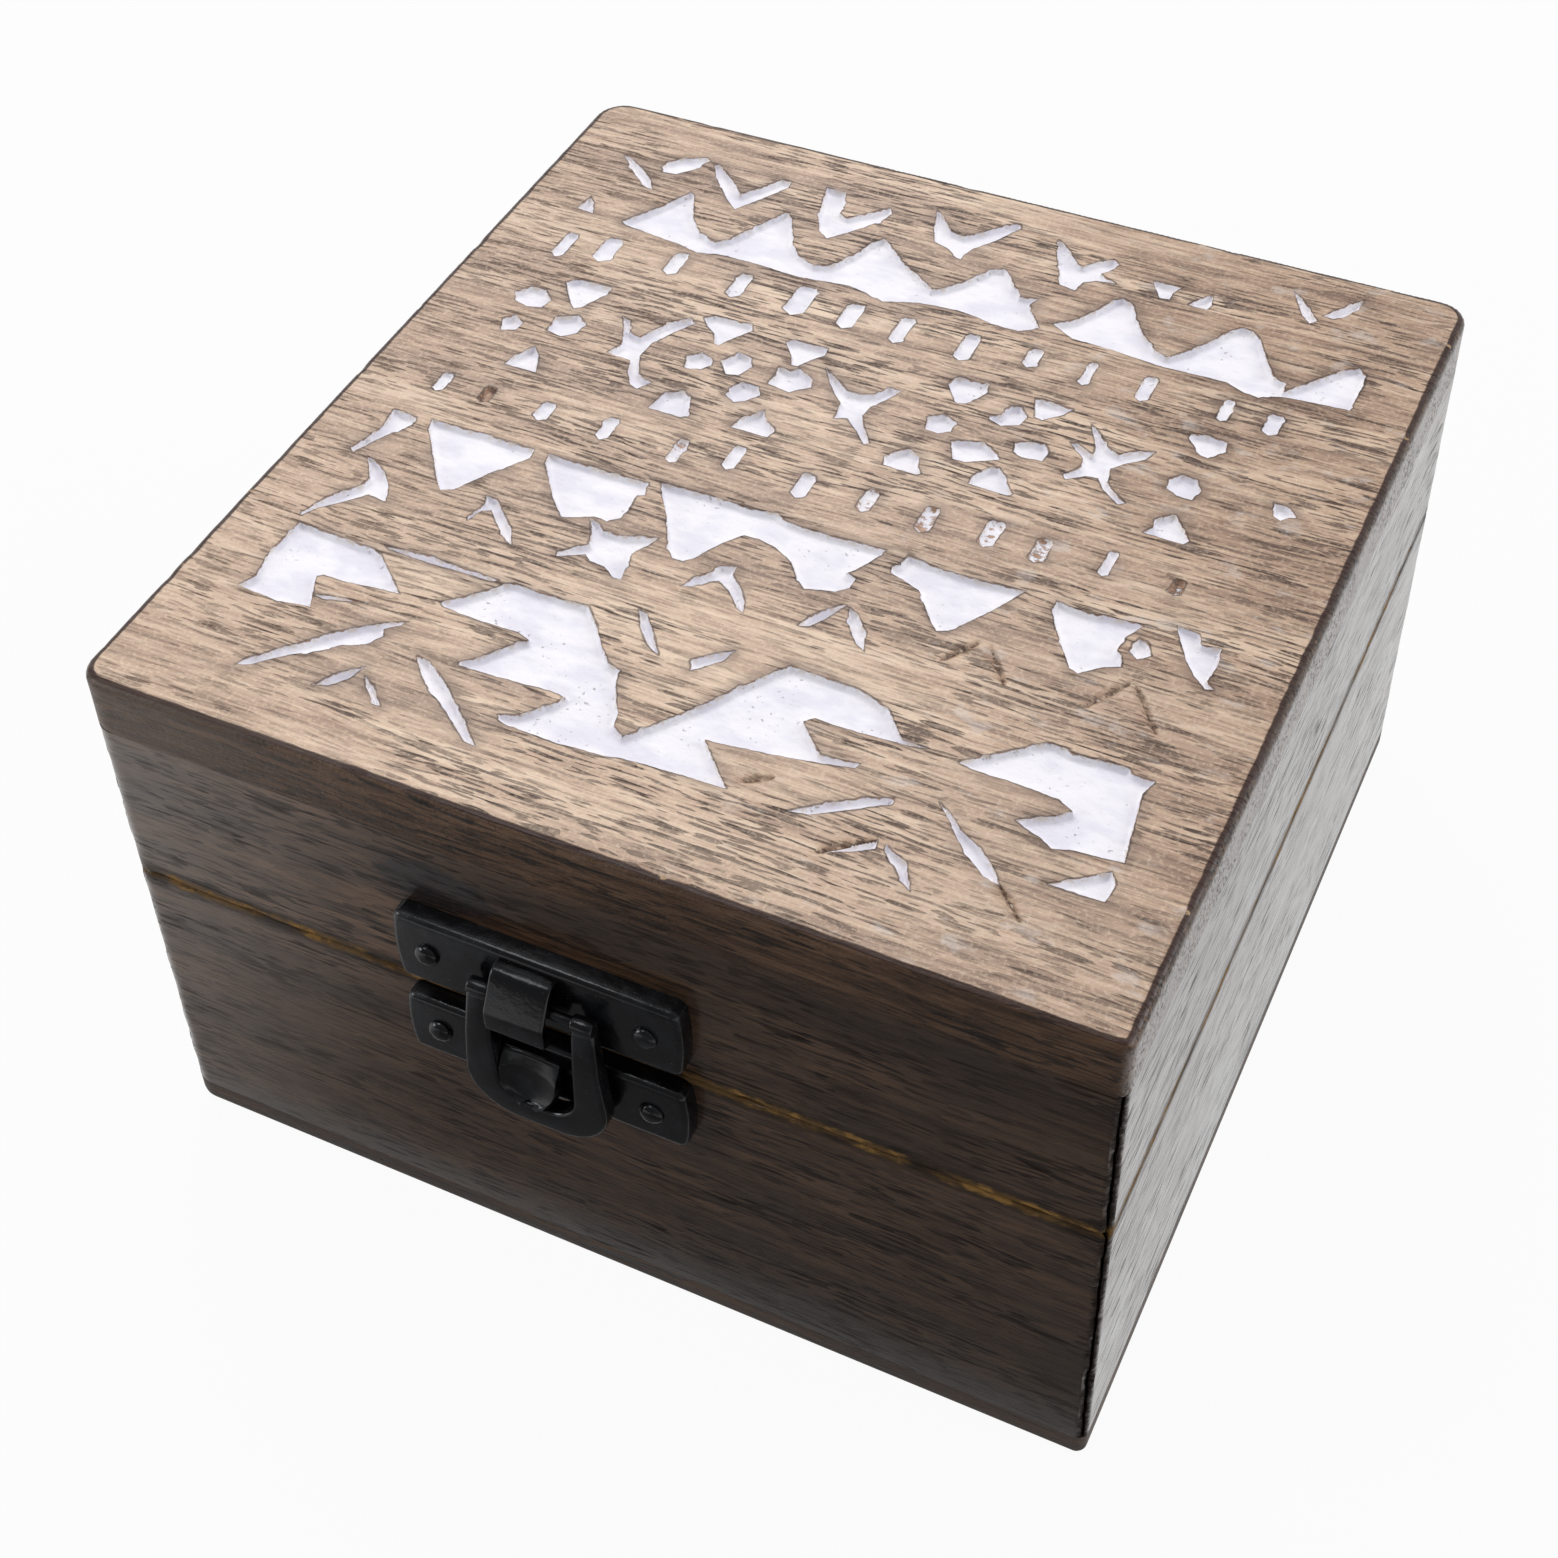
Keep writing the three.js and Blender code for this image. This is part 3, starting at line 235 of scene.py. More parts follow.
def done(piece, material, body, node, crease=35):
    """Closes a piece: smooth faces with crisp edges, its material, and the body and node it stands for."""
    if piece.mode == "EDIT":
        finish_shaping()
    clear_bench()
    piece.select_set(True)
    bpy.context.view_layer.objects.active = piece
    bpy.ops.object.shade_smooth_by_angle(angle=math.radians(crease))
    piece.data.materials.clear()
    piece.data.materials.append(material)
    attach(piece, body)
    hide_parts(node)


def upright(edge):
    first, second = (v.co for v in edge.verts)
    return abs(first.z - second.z) > 0.0005 and (first - second).xy.length < 1e-5


def level_at(height):
    return lambda edge: all(abs(v.co.z - height) < 1e-5 for v in edge.verts)


def within(finish):
    """1 for what lies behind the stained skin of the box, 0 on its outer faces."""
    depth = box_width / 2 - abs(finish.x)
    return finish.step(depth.maths("MINIMUM", depth, box_depth / 2 - abs(finish.y)), 0.0006, 0.0012)


bottom_corners = (-box_width / 2, -box_depth / 2, 0), (box_width / 2, box_depth / 2, bottom_thickness)
bottom = block("bottom_board_wood", *bottom_corners)
for corner, radius in enumerate(corner_radii):
    across, back = ((-1, -1), (1, -1), (1, 1), (-1, 1))[corner]
    pick(bottom, lambda edge: upright(edge) and edge.verts[0].co.x * across > 0.04
         and edge.verts[0].co.y * back > 0.04 and abs(abs(edge.verts[0].co.x) - box_width / 2) < 1e-6
         and abs(abs(edge.verts[0].co.y) - box_depth / 2) < 1e-6)
    bpy.ops.mesh.bevel(offset=radius, segments=10)
pick(bottom, level_at(0))
bpy.ops.mesh.bevel(offset=bottom_rounding, segments=5)
bottom_finish = Finish("bottom_wood_stained")
bottom_colour, bottom_grain = timber(bottom_finish, 0, 2.4, wall_tones)[:2]
# The board is darker all over, and darker still towards the table: painted shade under its rounded lower edge.
tone_and_painted_low_shade = 0.4 + bottom_finish.step(bottom_finish.z, 0.0026, 0.0006) * 0.4
bottom_colour = bottom_finish.mix(tone_and_painted_low_shade, bottom_colour, shade(34, 25, 20))
inner_floor = bottom_finish.step(bottom_finish.z, bottom_thickness - 0.0002, bottom_thickness - 0.00005)
bottom_colour = bottom_finish.mix(inner_floor * within(bottom_finish) * 0.58, bottom_colour, bare_wood)
material = bottom_finish.surface(bottom_colour, 0.55 + 0.1 * bottom_grain, bottom_grain, 0.00012)
done(bottom, material, "base", "bottom_board")


# Base walls
# Four walls of solid wood stand on the bottom board, mitred and glued at the corners, where the joints have
# opened a little. The stain has worn from their sawn top edges, which show raw yellow fibres.
wall_thickness = 0.006
mitre_gap = 0.0003
base_top = 0.037
lid_bottom = 0.0373
parting = (base_top + lid_bottom) / 2
stain_place = (-0.014, 0.0513)
stain_reach = (0.0068, 0.003)


def mitred_wall(name, side, low, high, worn):
    """A wall between two heights, shaped as the front one and turned to its side. The worn height is its open
    edge."""
    turns = ("front", "right", "back", "left").index(side)
    length, across = (box_width, box_depth) if turns % 2 == 0 else (box_depth, box_width)
    outer = -across / 2
    wall = block(name, (-length / 2, outer, low), (length / 2, outer + wall_thickness, high))
    rows = (140, 3, round((high - low) / 0.0008))
    for axis, cuts in enumerate(rows):
        pick(wall, lambda edge: abs((edge.verts[0].co - edge.verts[1].co).normalized()[axis]) > 0.9)
        bpy.ops.mesh.subdivide(number_cuts=cuts)
    setback = mitre_gap / math.sqrt(2)
    mesh = bmesh.from_edit_mesh(wall.data)
    for v in mesh.verts:
        radius = corner_radii[(turns + (v.co.x > 0)) % 4]
        sweep = math.pi / 4 - math.asin(mitre_gap / 2 / radius)
        share = v.co.x / (length / 2)
        share = 0.2 * share + 0.8 * math.sin(share * math.pi / 2)
        depth = (v.co.y - outer) / wall_thickness
        centre = length / 2 - radius
        outside = Vector((share * (centre + radius * math.sin(sweep)), outer))
        past = abs(outside.x) - centre
        if past > 0:
            outside.y += radius - math.sqrt(radius**2 - past**2)
        inside = Vector((share * (length / 2 - wall_thickness - setback), outer + wall_thickness))
        v.co.x, v.co.y = outside.lerp(inside, depth)
    bmesh.update_edit_mesh(wall.data)
    pick(wall, lambda edge: level_at(worn)(edge) and len({f.normal.z > 0.5 for f in edge.link_faces}) == 2)
    bpy.ops.mesh.bevel(offset=0.00045, segments=3)
    finish_shaping()
    wall.data.transform(Matrix.Rotation(turns * math.pi / 2, 4, "Z"))
    for v in wall.data.vertices:
        free = min(1.0, abs(v.co.z - (low + high - worn)) / 0.002)
        slow = noise.noise_vector(v.co * 160)
        quick = noise.noise_vector(v.co * 900)
        edge = max(0.0, 1 - abs(v.co.z - worn) / 0.0009)
        torn = max(0.0, noise.noise(v.co * 330) - 0.12) * edge
        mitre = abs(abs(v.co.x) - abs(v.co.y) - (box_width - box_depth) / 2)
        splinters = 0.45 + noise.noise(v.co * 420) + 0.5 * noise.noise(v.co * 1300)
        crack = max(0.0, 1 - mitre / 0.0009) * max(0.0, splinters)
        v.co += free * (0.00006 * slow + (0.00003 + 0.00007 * edge) * quick)
        v.co.z -= math.copysign(0.00055 * torn, worn - (low + high) / 2)
        v.co -= free * 0.00032 * crack * Vector((math.copysign(1, v.co.x), math.copysign(1, v.co.y), 0))
        v.co.x = max(-box_width / 2, min(box_width / 2, v.co.x))
        v.co.y = max(-box_depth / 2, min(box_depth / 2, v.co.y))
    return wall


def wall_finish(name, along, shift, tones, gloss, stained=False):
    """Wood stained and waxed on its outer face and bare within: dark mitres, raw worn edges along the parting
    line, and darker towards the table. Wax makes the flat faces shine when they are seen along the surface."""
    finish = Finish(name)
    colour, grain, pores = timber(finish, along, shift, tones)
    patchy = finish.mottle((0.012, 0.012, 0.006), shift + 20)
    broad = finish.mottle((0.06, 0.06, 0.03), shift + 26, 2.0)
    speckle = finish.mottle((0.0011, 0.0011, 0.0006), shift + 31, 4.0)
    colour = finish.mix(finish.step(broad, 0.42, 0.6) * 0.5, colour, shade(50, 35, 24))
    darker = finish.step(finish.x + (patchy - 0.5) * 0.04, -0.035, 0.035)
    colour = finish.mix(darker * 0.45, colour, shade(42, 29, 20))
    # Painted sheen: the walls are paler and greyer towards the left, where light glances off them.
    painted_left_sheen = finish.step(finish.x + (patchy - 0.5) * 0.03, -0.012, -0.045)
    colour = finish.mix(painted_left_sheen * 0.35, colour, shade(112, 98, 88))
    colour = finish.mix(finish.step(patchy, 0.5, 0.72) * 0.45, colour, shade(46, 34, 26))
    if stained:
        across, up = (finish.x - stain_place[0]) / stain_reach[0], (finish.z - stain_place[1]) / stain_reach[1]
        spread = across * across + up * up + (speckle - 0.5) * 1.6 + (patchy - 0.5) * 1.2
        colour = finish.mix(finish.step(spread, 1.0, 0.6) * 0.75, colour, shade(30, 27, 30))
    bare = within(finish)
    colour = finish.mix(bare * bare_share, colour, bare_wood)
    mitre = abs(abs(finish.x) - abs(finish.y) - (box_width - box_depth) / 2)
    crack = finish.step(mitre + (speckle - 0.5) * 0.0016, 0.0011, 0.0002)
    colour = finish.mix(crack * 0.85, colour, shade(20, 15, 12))
    # Darker towards the table.
    low_down = finish.step(finish.z + (patchy - 0.5) * 0.006, 0.009, 0.0033)
    colour = finish.mix(low_down * 0.5, colour, shade(34, 25, 19))
    line = abs(finish.z - parting) + (speckle - 0.5) * 0.0012
    dark_line = finish.step(line, 0.002, 0.0005) * (1 - bare)
    colour = finish.mix(dark_line * 0.8, colour, shade(30, 21, 14))
    torn = finish.step(finish.mottle((0.0025, 0.0025, 0.0012), shift + 44, 4.0), 0.5, 0.6)
    raw = finish.step(line, 0.0011, 0.0004) * finish.step(patchy, 0.38, 0.5)
    raw = raw * (0.4 + 0.6 * torn) * (1 - bare)
    colour = finish.mix(raw * 0.9, colour, shade(150, 114, 64))
    rough = 0.45 + 0.15 * speckle + 0.3 * raw + 0.2 * crack
    height = grain + 0.5 * speckle
    wax = (1 - raw) * (1 - crack) * (1 - 0.7 * bare) * (1 - 0.5 * dark_line)
    wax = wax * (1 - 0.45 * pores) * (0.75 + 0.5 * patchy)
    coat = {"Coat_Weight": wax, "Coat_IOR": gloss, "Coat_Roughness": 0.17}
    return finish.surface(colour, rough, height, 0.00011, Specular_IOR_Level=0.08, **coat)


for side in ("front", "right", "back", "left"):
    name = "base_" + side + "_wall"
    along = 0 if side in ("front", "back") else 1
    shift = {"front": 5.0, "right": 9.3, "back": 14.1, "left": 17.7}[side]
    wall = mitred_wall(name + "_wood", side, bottom_thickness, base_top, base_top)
    gloss = 1.7 if along else 1.5
    done(wall, wall_finish(name + "_stained", along, shift, wall_tones, gloss), "base", name)


# Strike plate
# A pressed steel plate on the base with a rounded rim, painted gloss black. Its tongue is bent out and down
# into a hook that reaches through the ring, and two domed pins hold it to the front wall.
hasp_middle = -0.0033
tongue_middle = -0.00385
plate_half_width = 0.0146
plate_bulge = 0.0004
front_face = -0.0515
plate_face = -0.0535
plate_rim = 0.0007
pin_spread = 0.011


def black_paint(name, shift):
    """Gloss black paint over pressed steel: faint ripples, a little dust and duller rubbed patches."""
    finish = Finish(name)
    ripple = finish.mottle((0.0016, 0.0016, 0.0016), shift, 2.0)
    peel = finish.mottle((0.00022, 0.00022, 0.00022), shift + 4, 2.0)
    dust = finish.step(finish.mottle((0.00025, 0.00025, 0.00025), shift + 9, 1.0), 0.73, 0.78)
    rubbed = finish.step(finish.mottle((0.003, 0.002, 0.003), shift + 14), 0.45, 0.65)
    colour = finish.mix(rubbed, shade(12, 12, 14), shade(22, 23, 27))
    colour = finish.mix(dust * 0.4, colour, shade(90, 88, 86))
    rough = 0.14 + 0.12 * rubbed + 0.2 * dust
    return finish.surface(colour, rough, 0.7 * ripple + 0.15 * peel, 0.00006, IOR=1.45)


def pressed_plate(name, bottom, top):
    """A plate whose ends bulge a little, with rounded corners and a rim that is rounded back to the wood."""
    end = plate_half_width - plate_bulge
    plate = block(name, (hasp_middle - end, plate_face, bottom), (hasp_middle + end, front_face, top))
    pick(plate, upright)
    bpy.ops.mesh.subdivide(number_cuts=7)
    middle = (bottom + top) / 2
    mesh = bmesh.from_edit_mesh(plate.data)
    for v in mesh.verts:
        share = (v.co.z - middle) / (top - middle)
        v.co.x += math.copysign(plate_bulge * (1 - share**2), v.co.x - hasp_middle)
    pick(plate, lambda edge: abs(edge.verts[0].co.y - edge.verts[1].co.y) > 0.001
         and min(abs(edge.verts[0].co.z - bottom), abs(edge.verts[0].co.z - top)) < 1e-5)
    bpy.ops.mesh.bevel(offset=0.0007, segments=4)
    pick(plate, lambda edge: sum(face.normal.y < -0.9 for face in edge.link_faces) == 1)
    bpy.ops.mesh.bevel(offset=plate_rim, segments=4)
    finish_shaping()
    return plate


def use(piece, kind, **settings):
    """Adds a modifier with these settings and applies it."""
    bpy.context.view_layer.objects.active = piece
    modifier = piece.modifiers.new(kind.lower(), kind)
    for setting, value in settings.items():
        setattr(modifier, setting, value)
    bpy.ops.object.modifier_apply(modifier=modifier.name)


def strap(name, profile, middle, width, thickness, fold, nose=0.0, dish=0.0):
    """Sheet metal bent along a profile of (y, z) points. The nose is how far its free end tapers to a round tip,
    and the dish hollows it from side to side."""
    clear_bench()
    bpy.ops.mesh.primitive_plane_add(size=1, location=(middle, 0, 0))
    piece = start(name)
    mesh = bmesh.from_edit_mesh(piece.data)
    for v in mesh.verts:
        v.co.x = middle + math.copysign(width / 2, v.co.x - middle)
        v.co.y, v.co.z = profile[0] if v.co.y > 0 else profile[1]
    bmesh.update_edit_mesh(piece.data)
    for here, onward in zip(profile[1:], profile[2:]):
        pick(piece, lambda edge: all((v.co.yz - Vector(here)).length < 1e-6 for v in edge.verts))
        step = (0, onward[0] - here[0], onward[1] - here[1])
        bpy.ops.mesh.extrude_region_move(TRANSFORM_OT_translate={"value": step})
    if fold:
        pick(piece, lambda edge: len(edge.link_faces) == 2)
        bpy.ops.mesh.bevel(offset=fold, segments=4)
    if nose:
        pick(piece, lambda edge: abs(edge.verts[0].co.x - edge.verts[1].co.x) > 0.5 * width)
        bpy.ops.mesh.subdivide(number_cuts=15)
        pick(piece, lambda edge: abs(edge.verts[0].co.z - edge.verts[1].co.z) > 0.0009)
        bpy.ops.mesh.subdivide(number_cuts=13)
        for v in bmesh.from_edit_mesh(piece.data).verts:
            across = (v.co.x - middle) / width * 2
            v.co.y += dish * (1 - across**2) * min(1, (profile[0][1] - v.co.z) / 0.002)
            reach = max(0.0, 1 - (v.co.z - profile[-1][1]) / nose)
            v.co.x = middle + across * width / 2 * math.sqrt(1 - (0.98 * reach) ** 2)
    finish_shaping()
    use(piece, "SOLIDIFY", thickness=thickness, offset=-1.0)
    use(piece, "BEVEL", width=thickness * 0.45, segments=5, limit_method="ANGLE", angle_limit=math.radians(50))
    return piece


def join(first, *others):
    clear_bench()
    for piece in (first, *others):
        piece.select_set(True)
    bpy.context.view_layer.objects.active = first
    bpy.ops.object.join()
    return first


def turned(name, profile, sides=26):
    """A round piece: a disc drawn up through a profile of (radius, height) pairs."""
    clear_bench()
    radius, height = profile[0]
    bpy.ops.mesh.primitive_circle_add(vertices=sides, radius=radius, location=(0, 0, height), fill_type="NGON")
    piece = start(name)
    for wider, higher in profile[1:]:
        bpy.ops.mesh.extrude_region_move(TRANSFORM_OT_translate={"value": (0, 0, higher - height)})
        grow = wider / radius
        bpy.ops.transform.resize(value=(grow, grow, 1), center_override=(0, 0, higher))
        radius, height = wider, higher
    bpy.ops.mesh.select_all(action="SELECT")
    bpy.ops.mesh.normals_make_consistent(inside=False)
    finish_shaping()
    return piece


pin_profile = (
    (0.0002, -0.006), (0.0005, -0.0055), (0.0005, 0.0), (0.0012, 0.0), (0.00122, 0.00012), (0.00116, 0.0003),
    (0.00098, 0.00048), (0.0007, 0.00061), (0.00035, 0.00069), (0.0001, 0.0007),
)


def domed_pin(name, x, z, tilt):
    """A pin driven through a plate, its dome a little knocked about."""
    pin = turned(name, pin_profile)
    for v in pin.data.vertices:
        if v.co.z > 0:
            v.co += noise.noise_vector(v.co * 1500 + Vector((tilt * 9, 0, 0))) * 0.00006
    face_front = Matrix.Rotation(math.pi / 2, 4, "X") @ Matrix.Rotation(tilt, 4, "Z")
    pin.data.transform(Matrix.Translation((x, plate_face, z)) @ face_front)
    return pin


strike_plate = pressed_plate("strike_plate_pressed", 0.0289, 0.0367)
hook_profile = ((-0.0529, 0.036), (-0.0545, 0.0359), (-0.0557, 0.0342), (-0.0564, 0.0308))
hook = strap(
    "hook", hook_profile, tongue_middle, width=0.0058, thickness=0.0007, fold=0.0003, nose=0.0029, dish=0.0007
)
join(strike_plate, hook)
done(strike_plate, black_paint("strike_plate_paint", 3.0), "base", "strike_plate")
for side, sign in (("left", -1), ("right", 1)):
    pin = domed_pin("strike_pin_" + side, hasp_middle + sign * pin_spread, 0.0328, 1.3 * sign)
    paint = black_paint("strike_pin_paint_" + side, 8.0 + sign)
    done(pin, paint, "base", "strike_plate_pin_" + side)


# Hinges on the base
# Two small steel butt hinges, painted black. Each lower leaf is let into the back wall's edge under two flush
# nails, its sheet is rolled round into the two outer knuckles, and a headed pin runs through them.
hinge_places = {"left": -0.028, "right": 0.028}
hinge_y = 0.0533
hinge_z = 0.03715
leaf_half = 0.01
leaf_inner = 0.0469
leaf_thickness = 0.0008
barrel_radius = 0.0015
sheet_thickness = 0.0007
back_face = 0.0515
middle_knuckle_room = 0.003633
middle_knuckle_length = 0.006667
nail_y = 0.0492
nail_spread = 0.006
hinge_paint = black_paint("hinge_paint", 31.0)
hinge_pin_profile = (
    (0.0003, -0.0104), (0.0008, -0.01032), (0.00105, -0.0102), (0.001075, -0.01), (0.00065, -0.01),
    (0.00065, 0.01), (0.001075, 0.01), (0.00105, 0.0102), (0.0008, 0.01032), (0.0003, 0.0104),
)
nail_profile = (
    (0.0001, -0.0048), (0.0005, -0.0042), (0.0005, -0.0008), (0.00108, -0.00016), (0.0011, -0.00005),
    (0.001, 0.00004), (0.0006, 0.00007), (0.0001, 0.00007),
)


def mortise(wall, middle, low, high):
    """Cuts the bed of a leaf out of a back wall."""
    reach = leaf_half + 0.00015
    bed = block("mortise", (middle - reach, leaf_inner - 0.00015, low), (middle + reach, back_face + 0.001, high))
    finish_shaping()
    use(wall, "BOOLEAN", operation="DIFFERENCE", object=bed, solver="EXACT")
    bpy.data.objects.remove(bed)


def hinge_leaf(name, middle, low, knuckles, upward):
    """A leaf with its knuckles, each given as its middle and length. The sheet rolls under the axis, or over
    it."""
    high = low + leaf_thickness
    leaf = block(name, (middle - leaf_half, leaf_inner, low), (middle + leaf_half, back_face, high))
    pick(leaf, lambda edge: upright(edge) and edge.verts[0].co.y < leaf_inner + 0.0001)
    bpy.ops.mesh.bevel(offset=0.0004, segments=4)
    pick(leaf, lambda edge: sum(abs(face.normal.z) > 0.9 for face in edge.link_faces) == 1)
    bpy.ops.mesh.bevel(offset=0.00012, segments=2)
    finish_shaping()
    roll = [math.radians(-128 + i * 12) for i in range(25)]
    roll = [(hinge_y + barrel_radius * math.cos(a), hinge_z + barrel_radius * math.sin(a)) for a in roll]
    profile = [(back_face - 0.0004, low + 0.00005), (back_face + 0.0003, low + 0.00002), *roll]
    if not upward:
        mirrored = [(y, 2 * hinge_z - z) for y, z in reversed(roll)]
        profile = [*mirrored, (back_face + 0.0003, high - 0.00002), (back_face - 0.0004, high - 0.00005)]
    for place, length in knuckles:
        join(leaf, strap("knuckle", profile, middle + place, length, sheet_thickness, 0))
    return leaf


outer_knuckle = (leaf_half + middle_knuckle_room) / 2
outer_knuckle_length = leaf_half - middle_knuckle_room
for side, middle in hinge_places.items():
    mortise(bpy.data.objects["base_back_wall_wood"], middle, base_top - leaf_thickness, base_top + 0.001)
    name = side + "_hinge_base_leaf"
    knuckles = ((-outer_knuckle, outer_knuckle_length), (outer_knuckle, outer_knuckle_length))
    leaf = hinge_leaf(name + "_steel", middle, base_top - leaf_thickness, knuckles, True)
    done(leaf, hinge_paint, "base", name)
    pin = turned(side + "_hinge_pin_steel", hinge_pin_profile)
    pin.data.transform(Matrix.Translation((middle, hinge_y, hinge_z)) @ Matrix.Rotation(math.pi / 2, 4, "Y"))
    done(pin, hinge_paint, "base", side + "_hinge_pin")
    for place, offset in (("a", -nail_spread), ("b", nail_spread)):
        name = side + "_hinge_base_nail_" + place
        nail = turned(name + "_steel", nail_profile)
        nail.data.transform(Matrix.Translation((middle + offset, nail_y, base_top)))
        done(nail, hinge_paint, "base", name)


# Lid walls
# The same four mitred walls again, lower and turned over, stained and waxed like the base walls. Their worn open
# edges face down onto the base, and the lid board is glued on top of them.
lid_walls_top = 0.0565

for side in ("front", "right", "back", "left"):
    name = "lid_" + side + "_wall"
    along = 0 if side in ("front", "back") else 1
    shift = {"front": 25.0, "right": 29.3, "back": 34.1, "left": 37.7}[side]
    wall = mitred_wall(name + "_wood", side, lid_bottom, lid_walls_top, lid_bottom)
    gloss = 1.7 if along else 1.5
    material = wall_finish(name + "_stained", along, shift, wall_tones, gloss, side == "front")
    done(wall, material, "lid", name)


# Hinges on the lid
# The upper leaves of the two hinges, of the same black painted sheet, each with one middle knuckle. They are let
# into the lower edge of the lid's back wall and nailed.
for side, middle in hinge_places.items():
    mortise(bpy.data.objects["lid_back_wall_wood"], middle, lid_bottom - 0.001, lid_bottom + leaf_thickness)
    name = side + "_hinge_lid_leaf"
    leaf = hinge_leaf(name + "_steel", middle, lid_bottom, ((0, middle_knuckle_length),), False)
    done(leaf, hinge_paint, "lid", name)
    for place, offset in (("a", -nail_spread), ("b", nail_spread)):
        name = side + "_hinge_lid_nail_" + place
        nail = turned(name + "_steel", nail_profile)
        head_down = Matrix.Rotation(math.pi, 4, "X")
        nail.data.transform(Matrix.Translation((middle + offset, nail_y, lid_bottom)) @ head_down)
        done(nail, hinge_paint, "lid", name)


# Carved lid board
# A thick board glued over the lid walls, its upper edges rounded over. The pattern is cut in with gouges and
# chisels, filled with white paint, and the face is then sanded back to pale wood.
box_height = 0.063
edge_rounding = 0.0008
gouge_reach = 0.0005
paint_level = 0.65
bare_scratches = [
    (0.0224, -0.0148, 0.0204, -0.0178), (0.0238, -0.015, 0.0264, -0.0186), (0.0364, -0.014, 0.034, -0.018),
    (0.037, -0.014, 0.0404, -0.0188), (0.0348, -0.0404, 0.0374, -0.043), (0.0234, -0.04, 0.0196, -0.043),
    (0.0106, -0.0384, 0.0126, -0.037),
]
bare_dots = [(0.0366, 0.0157, 0.001), (0.0375, 0.0099, 0.0016)]
bare_nicks = {(-0.0358, -0.0017): 0.1, (-0.0143, -0.0018): 0.55, (0.012, 0.0256): 0.7, (0.0056, -0.0011): 0.55,
              (0.0118, -0.0013): 0.5, (0.018, -0.0007): 0.6, (0.0231, -0.001): 0.45, (0.0362, -0.0007): 0.25}


def carved_outlines():
    """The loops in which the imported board's recesses meet its face, each with the depth of its recess."""
    mesh = bmesh.new()
    mesh.from_mesh(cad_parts["lid_top_board"].data)
    bmesh.ops.remove_doubles(mesh, verts=mesh.verts, dist=1e-6)
    steps = {}
    depths = {}
    for edge in mesh.edges:
        if any(abs(v.co.z - box_height) > 1e-6 for v in edge.verts) or len(edge.link_faces) != 2:
            continue
        wall = [face for face in edge.link_faces if abs(face.normal.z) < 0.1]
        if len(wall) == 1:
            first, second = (v.index for v in edge.verts)
            steps.setdefault(first, []).append(second)
            steps.setdefault(second, []).append(first)
            depths[first] = box_height - min(v.co.z for v in wall[0].verts)
    mesh.verts.ensure_lookup_table()
    loops = []
    while steps:
        here = next(iter(steps))
        loop = [here]
        while steps.get(here):
            onward = steps[here].pop()
            steps[onward].remove(here)
            if not steps[here]:
                del steps[here]
            here = onward
            loop.append(here)
        steps.pop(here, None)
        depth = max(depths.get(i, 0) for i in loop)
        loops.append((np.array([mesh.verts[i].co.xy for i in loop[:-1]]), depth))
    mesh.free()
    return loops


def ragged(loop):
    """The loop as a blade leaves it: short steps along each side, pushed in and out by splits in the grain."""
    points = []
    for here, onward in zip(loop, np.roll(loop, -1, axis=0)):
        steps = max(1, round(np.linalg.norm(onward - here) / 0.00028))
        points += [here + (onward - here) * i / steps for i in range(steps)]
    points = np.array(points)
    run = np.roll(points, -1, axis=0) - np.roll(points, 1, axis=0)
    run /= np.maximum(np.linalg.norm(run, axis=1, keepdims=True), 1e-9)
    side = np.column_stack((run[:, 1], -run[:, 0]))
    if np.sum(points[:, 0] * np.roll(points[:, 1], -1) - np.roll(points[:, 0], -1) * points[:, 1]) < 0:
        side = -side
    for i, (x, y) in enumerate(points):
        slow = noise.noise(Vector((x * 500, y * 900, 1.7)))
        quick = noise.noise(Vector((x * 1700, y * 3300, 5.1)))
        split = max(0.0, noise.noise(Vector((x * 420, y * 1300, 9.4))) - 0.3)
        points[i] += side[i] * (0.00007 * slow + 0.00006 * quick + 0.0006 * split)
    return points, side


def holds(loop, points):
    """Whether each point lies inside the loop."""
    inside = np.zeros(len(points), bool)
    low, high = loop.min(0), loop.max(0)
    near = np.flatnonzero(np.all((points > low) & (points < high), axis=1))
    x, y = points[near, 0:1], points[near, 1:2]
    x0, y0 = loop[:, 0], loop[:, 1]
    x1, y1 = np.roll(x0, -1), np.roll(y0, -1)
    crosses = (y0 > y) != (y1 > y)
    at = x0 + (y - y0) * (x1 - x0) / np.where(y1 == y0, 1e-12, y1 - y0)
    inside[near] = (crosses & (x < at)).sum(1) % 2 == 1
    return inside


def inset_from_rim(points):
    """How far inside the board's outline each point lies."""
    right, back = points[:, 0] > 0, points[:, 1] > 0
    radius = np.array(corner_radii)[np.where(back, np.where(right, 2, 3), np.where(right, 1, 0))]
    past = np.abs(points) - (np.array((box_width, box_depth)) / 2 - radius[:, None])
    outside = np.linalg.norm(np.maximum(past, 0), axis=1)
    return radius - outside - np.minimum(past.max(1), 0)


